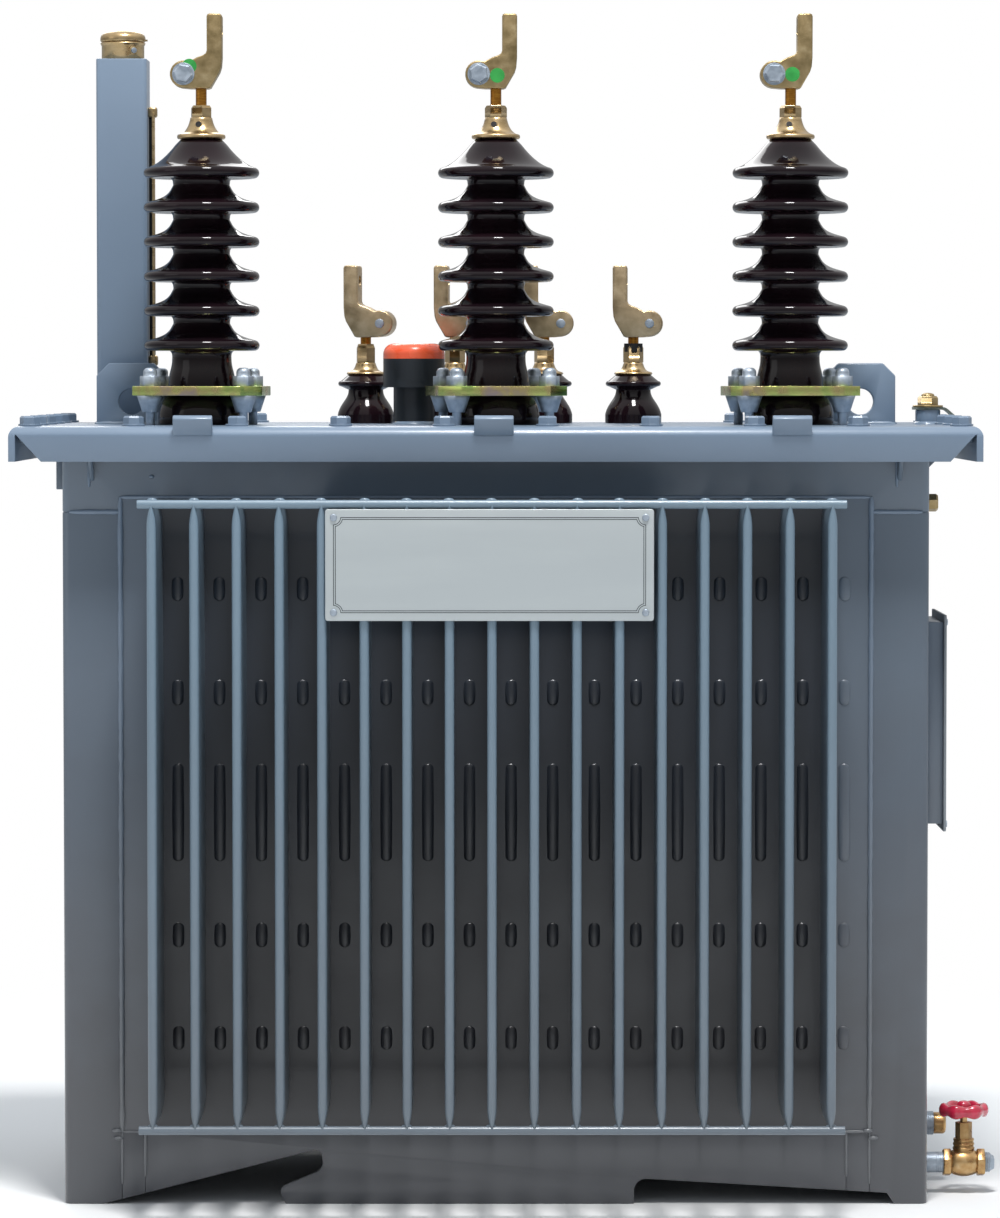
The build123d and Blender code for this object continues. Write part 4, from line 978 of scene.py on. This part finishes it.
# Floor: it keeps the shadow near the object and is plain white for the camera further out
studio = dict(floorSize=40, floor="#f4f4f3", fadeFrom=0.75, fadeTo=1.9, sky="#dfe8f2", skyStrength=0.62,
              glossStrength=0.1, glossLow=0.3, glossFrom=0.05, glossTo=0.75)
bm = bmesh.new()
bmesh.ops.create_grid(bm, x_segments=1, y_segments=1, size=studio["floorSize"])
floor = addObject("studio_floor", keepForm(bm, "studio_floor"))
floorPaint, tree, place = startMaterial("pale matt floor")
matt = addNode(tree, "BsdfPrincipled", values={"Base Color": paint(studio["floor"]), "Roughness": 0.9})
far = addNode(tree, "VectorMath", settings={"operation": "LENGTH"}, links={0: place})
fade = addNode(tree, "MapRange", settings={"interpolation_type": "SMOOTHSTEP"},
               values=mapped(0.0, 1.0, studio["fadeFrom"], studio["fadeTo"]),
               links={"Value": far.outputs["Value"]})
seen = addNode(tree, "LightPath")
hidden = addNode(tree, "Math", settings={"operation": "MULTIPLY"},
                 links={0: fade.outputs["Result"], 1: seen.outputs["Is Camera Ray"]})
blank = addNode(tree, "Emission", values={"Color": paint("#ffffff"), "Strength": 1.0})
closeMaterial(floorPaint, addNode(tree, "MixShader",
                                  links={0: hidden.outputs[0], 1: matt.outputs[0], 2: blank.outputs[0]}))
floor.data.materials.append(floorPaint)

# Sky: the camera sees plain white, and so does gloss, most of it overhead; the rest is soft light
world = bpy.data.worlds.new("soft studio")
bpy.context.scene.world = world
world.use_nodes = True
tree = world.node_tree
tree.nodes.clear()
seen = addNode(tree, "LightPath")
plain = addNode(tree, "Math", settings={"operation": "MAXIMUM"},
                links={0: seen.outputs["Is Camera Ray"], 1: seen.outputs["Is Transmission Ray"]})
heading = addNode(tree, "TexCoord")
compass = addNode(tree, "SeparateXYZ", links={"Vector": heading.outputs["Generated"]})
overhead = addNode(tree, "MapRange", links={"Value": compass.outputs["Z"]},
                   values=mapped(studio["glossLow"], 1.0, studio["glossFrom"], studio["glossTo"]))
glossShare = addNode(tree, "Math", settings={"operation": "MULTIPLY"},
                     links={0: seen.outputs["Is Glossy Ray"], 1: overhead.outputs["Result"]})
shown = addNode(tree, "Math", settings={"operation": "MAXIMUM"},
                links={0: plain.outputs[0], 1: glossShare.outputs[0]})
dimmed = addNode(tree, "Math", settings={"operation": "MULTIPLY_ADD"},
                 values={1: studio["glossStrength"] - studio["skyStrength"], 2: studio["skyStrength"]},
                 links={0: seen.outputs["Is Glossy Ray"]})
dim = addNode(tree, "Background", values={"Color": paint(studio["sky"])},
              links={"Strength": dimmed.outputs[0]})
white = addNode(tree, "Background", values={"Color": paint("#ffffff"), "Strength": 1.0})
mixed = addNode(tree, "MixShader", links={0: shown.outputs[0], 1: dim.outputs[0], 2: white.outputs[0]})
addNode(tree, "OutputWorld", links={"Surface": mixed.outputs[0]})

# Lamps: name, place, side of the square and power in watts
lamps = (
    ("key", (200, -1500, 4350), 700, 158),
    ("fill", (-2900, -1500, 1900), 1500, 5),
    ("back", (-600, 2600, 2600), 1600, 30),
)
lampAim = Vector((0, 0, 700))
for name, place, size, power in lamps:
    light = bpy.data.lights.new(name, "AREA")
    light.shape = "SQUARE"
    light.size = size * toMetres
    light.energy = power
    aim = (lampAim - Vector(place)).to_track_quat("-Z", "Y").to_matrix().to_4x4()
    addObject(name, light).matrix_world = Matrix.Translation(Vector(place) * toMetres) @ aim

# Camera: placed by the photo's perspective
view = dict(lens=151.3, sensor=36, x=-9.5, y=-5728.5, z=893, pitchDown=2.56)
cameraData = bpy.data.cameras.new("photo view")
cameraData.sensor_fit = "VERTICAL"
cameraData.sensor_height = view["sensor"]
cameraData.lens = view["lens"]
camera = addObject("photo view", cameraData)
camera.location = Vector((view["x"], view["y"], view["z"])) * toMetres
camera.rotation_euler = (radians(90 - view["pitchDown"]), 0, 0)
bpy.context.scene.camera = camera
bpy.context.scene.view_settings.view_transform = "Standard"
print("studio set")
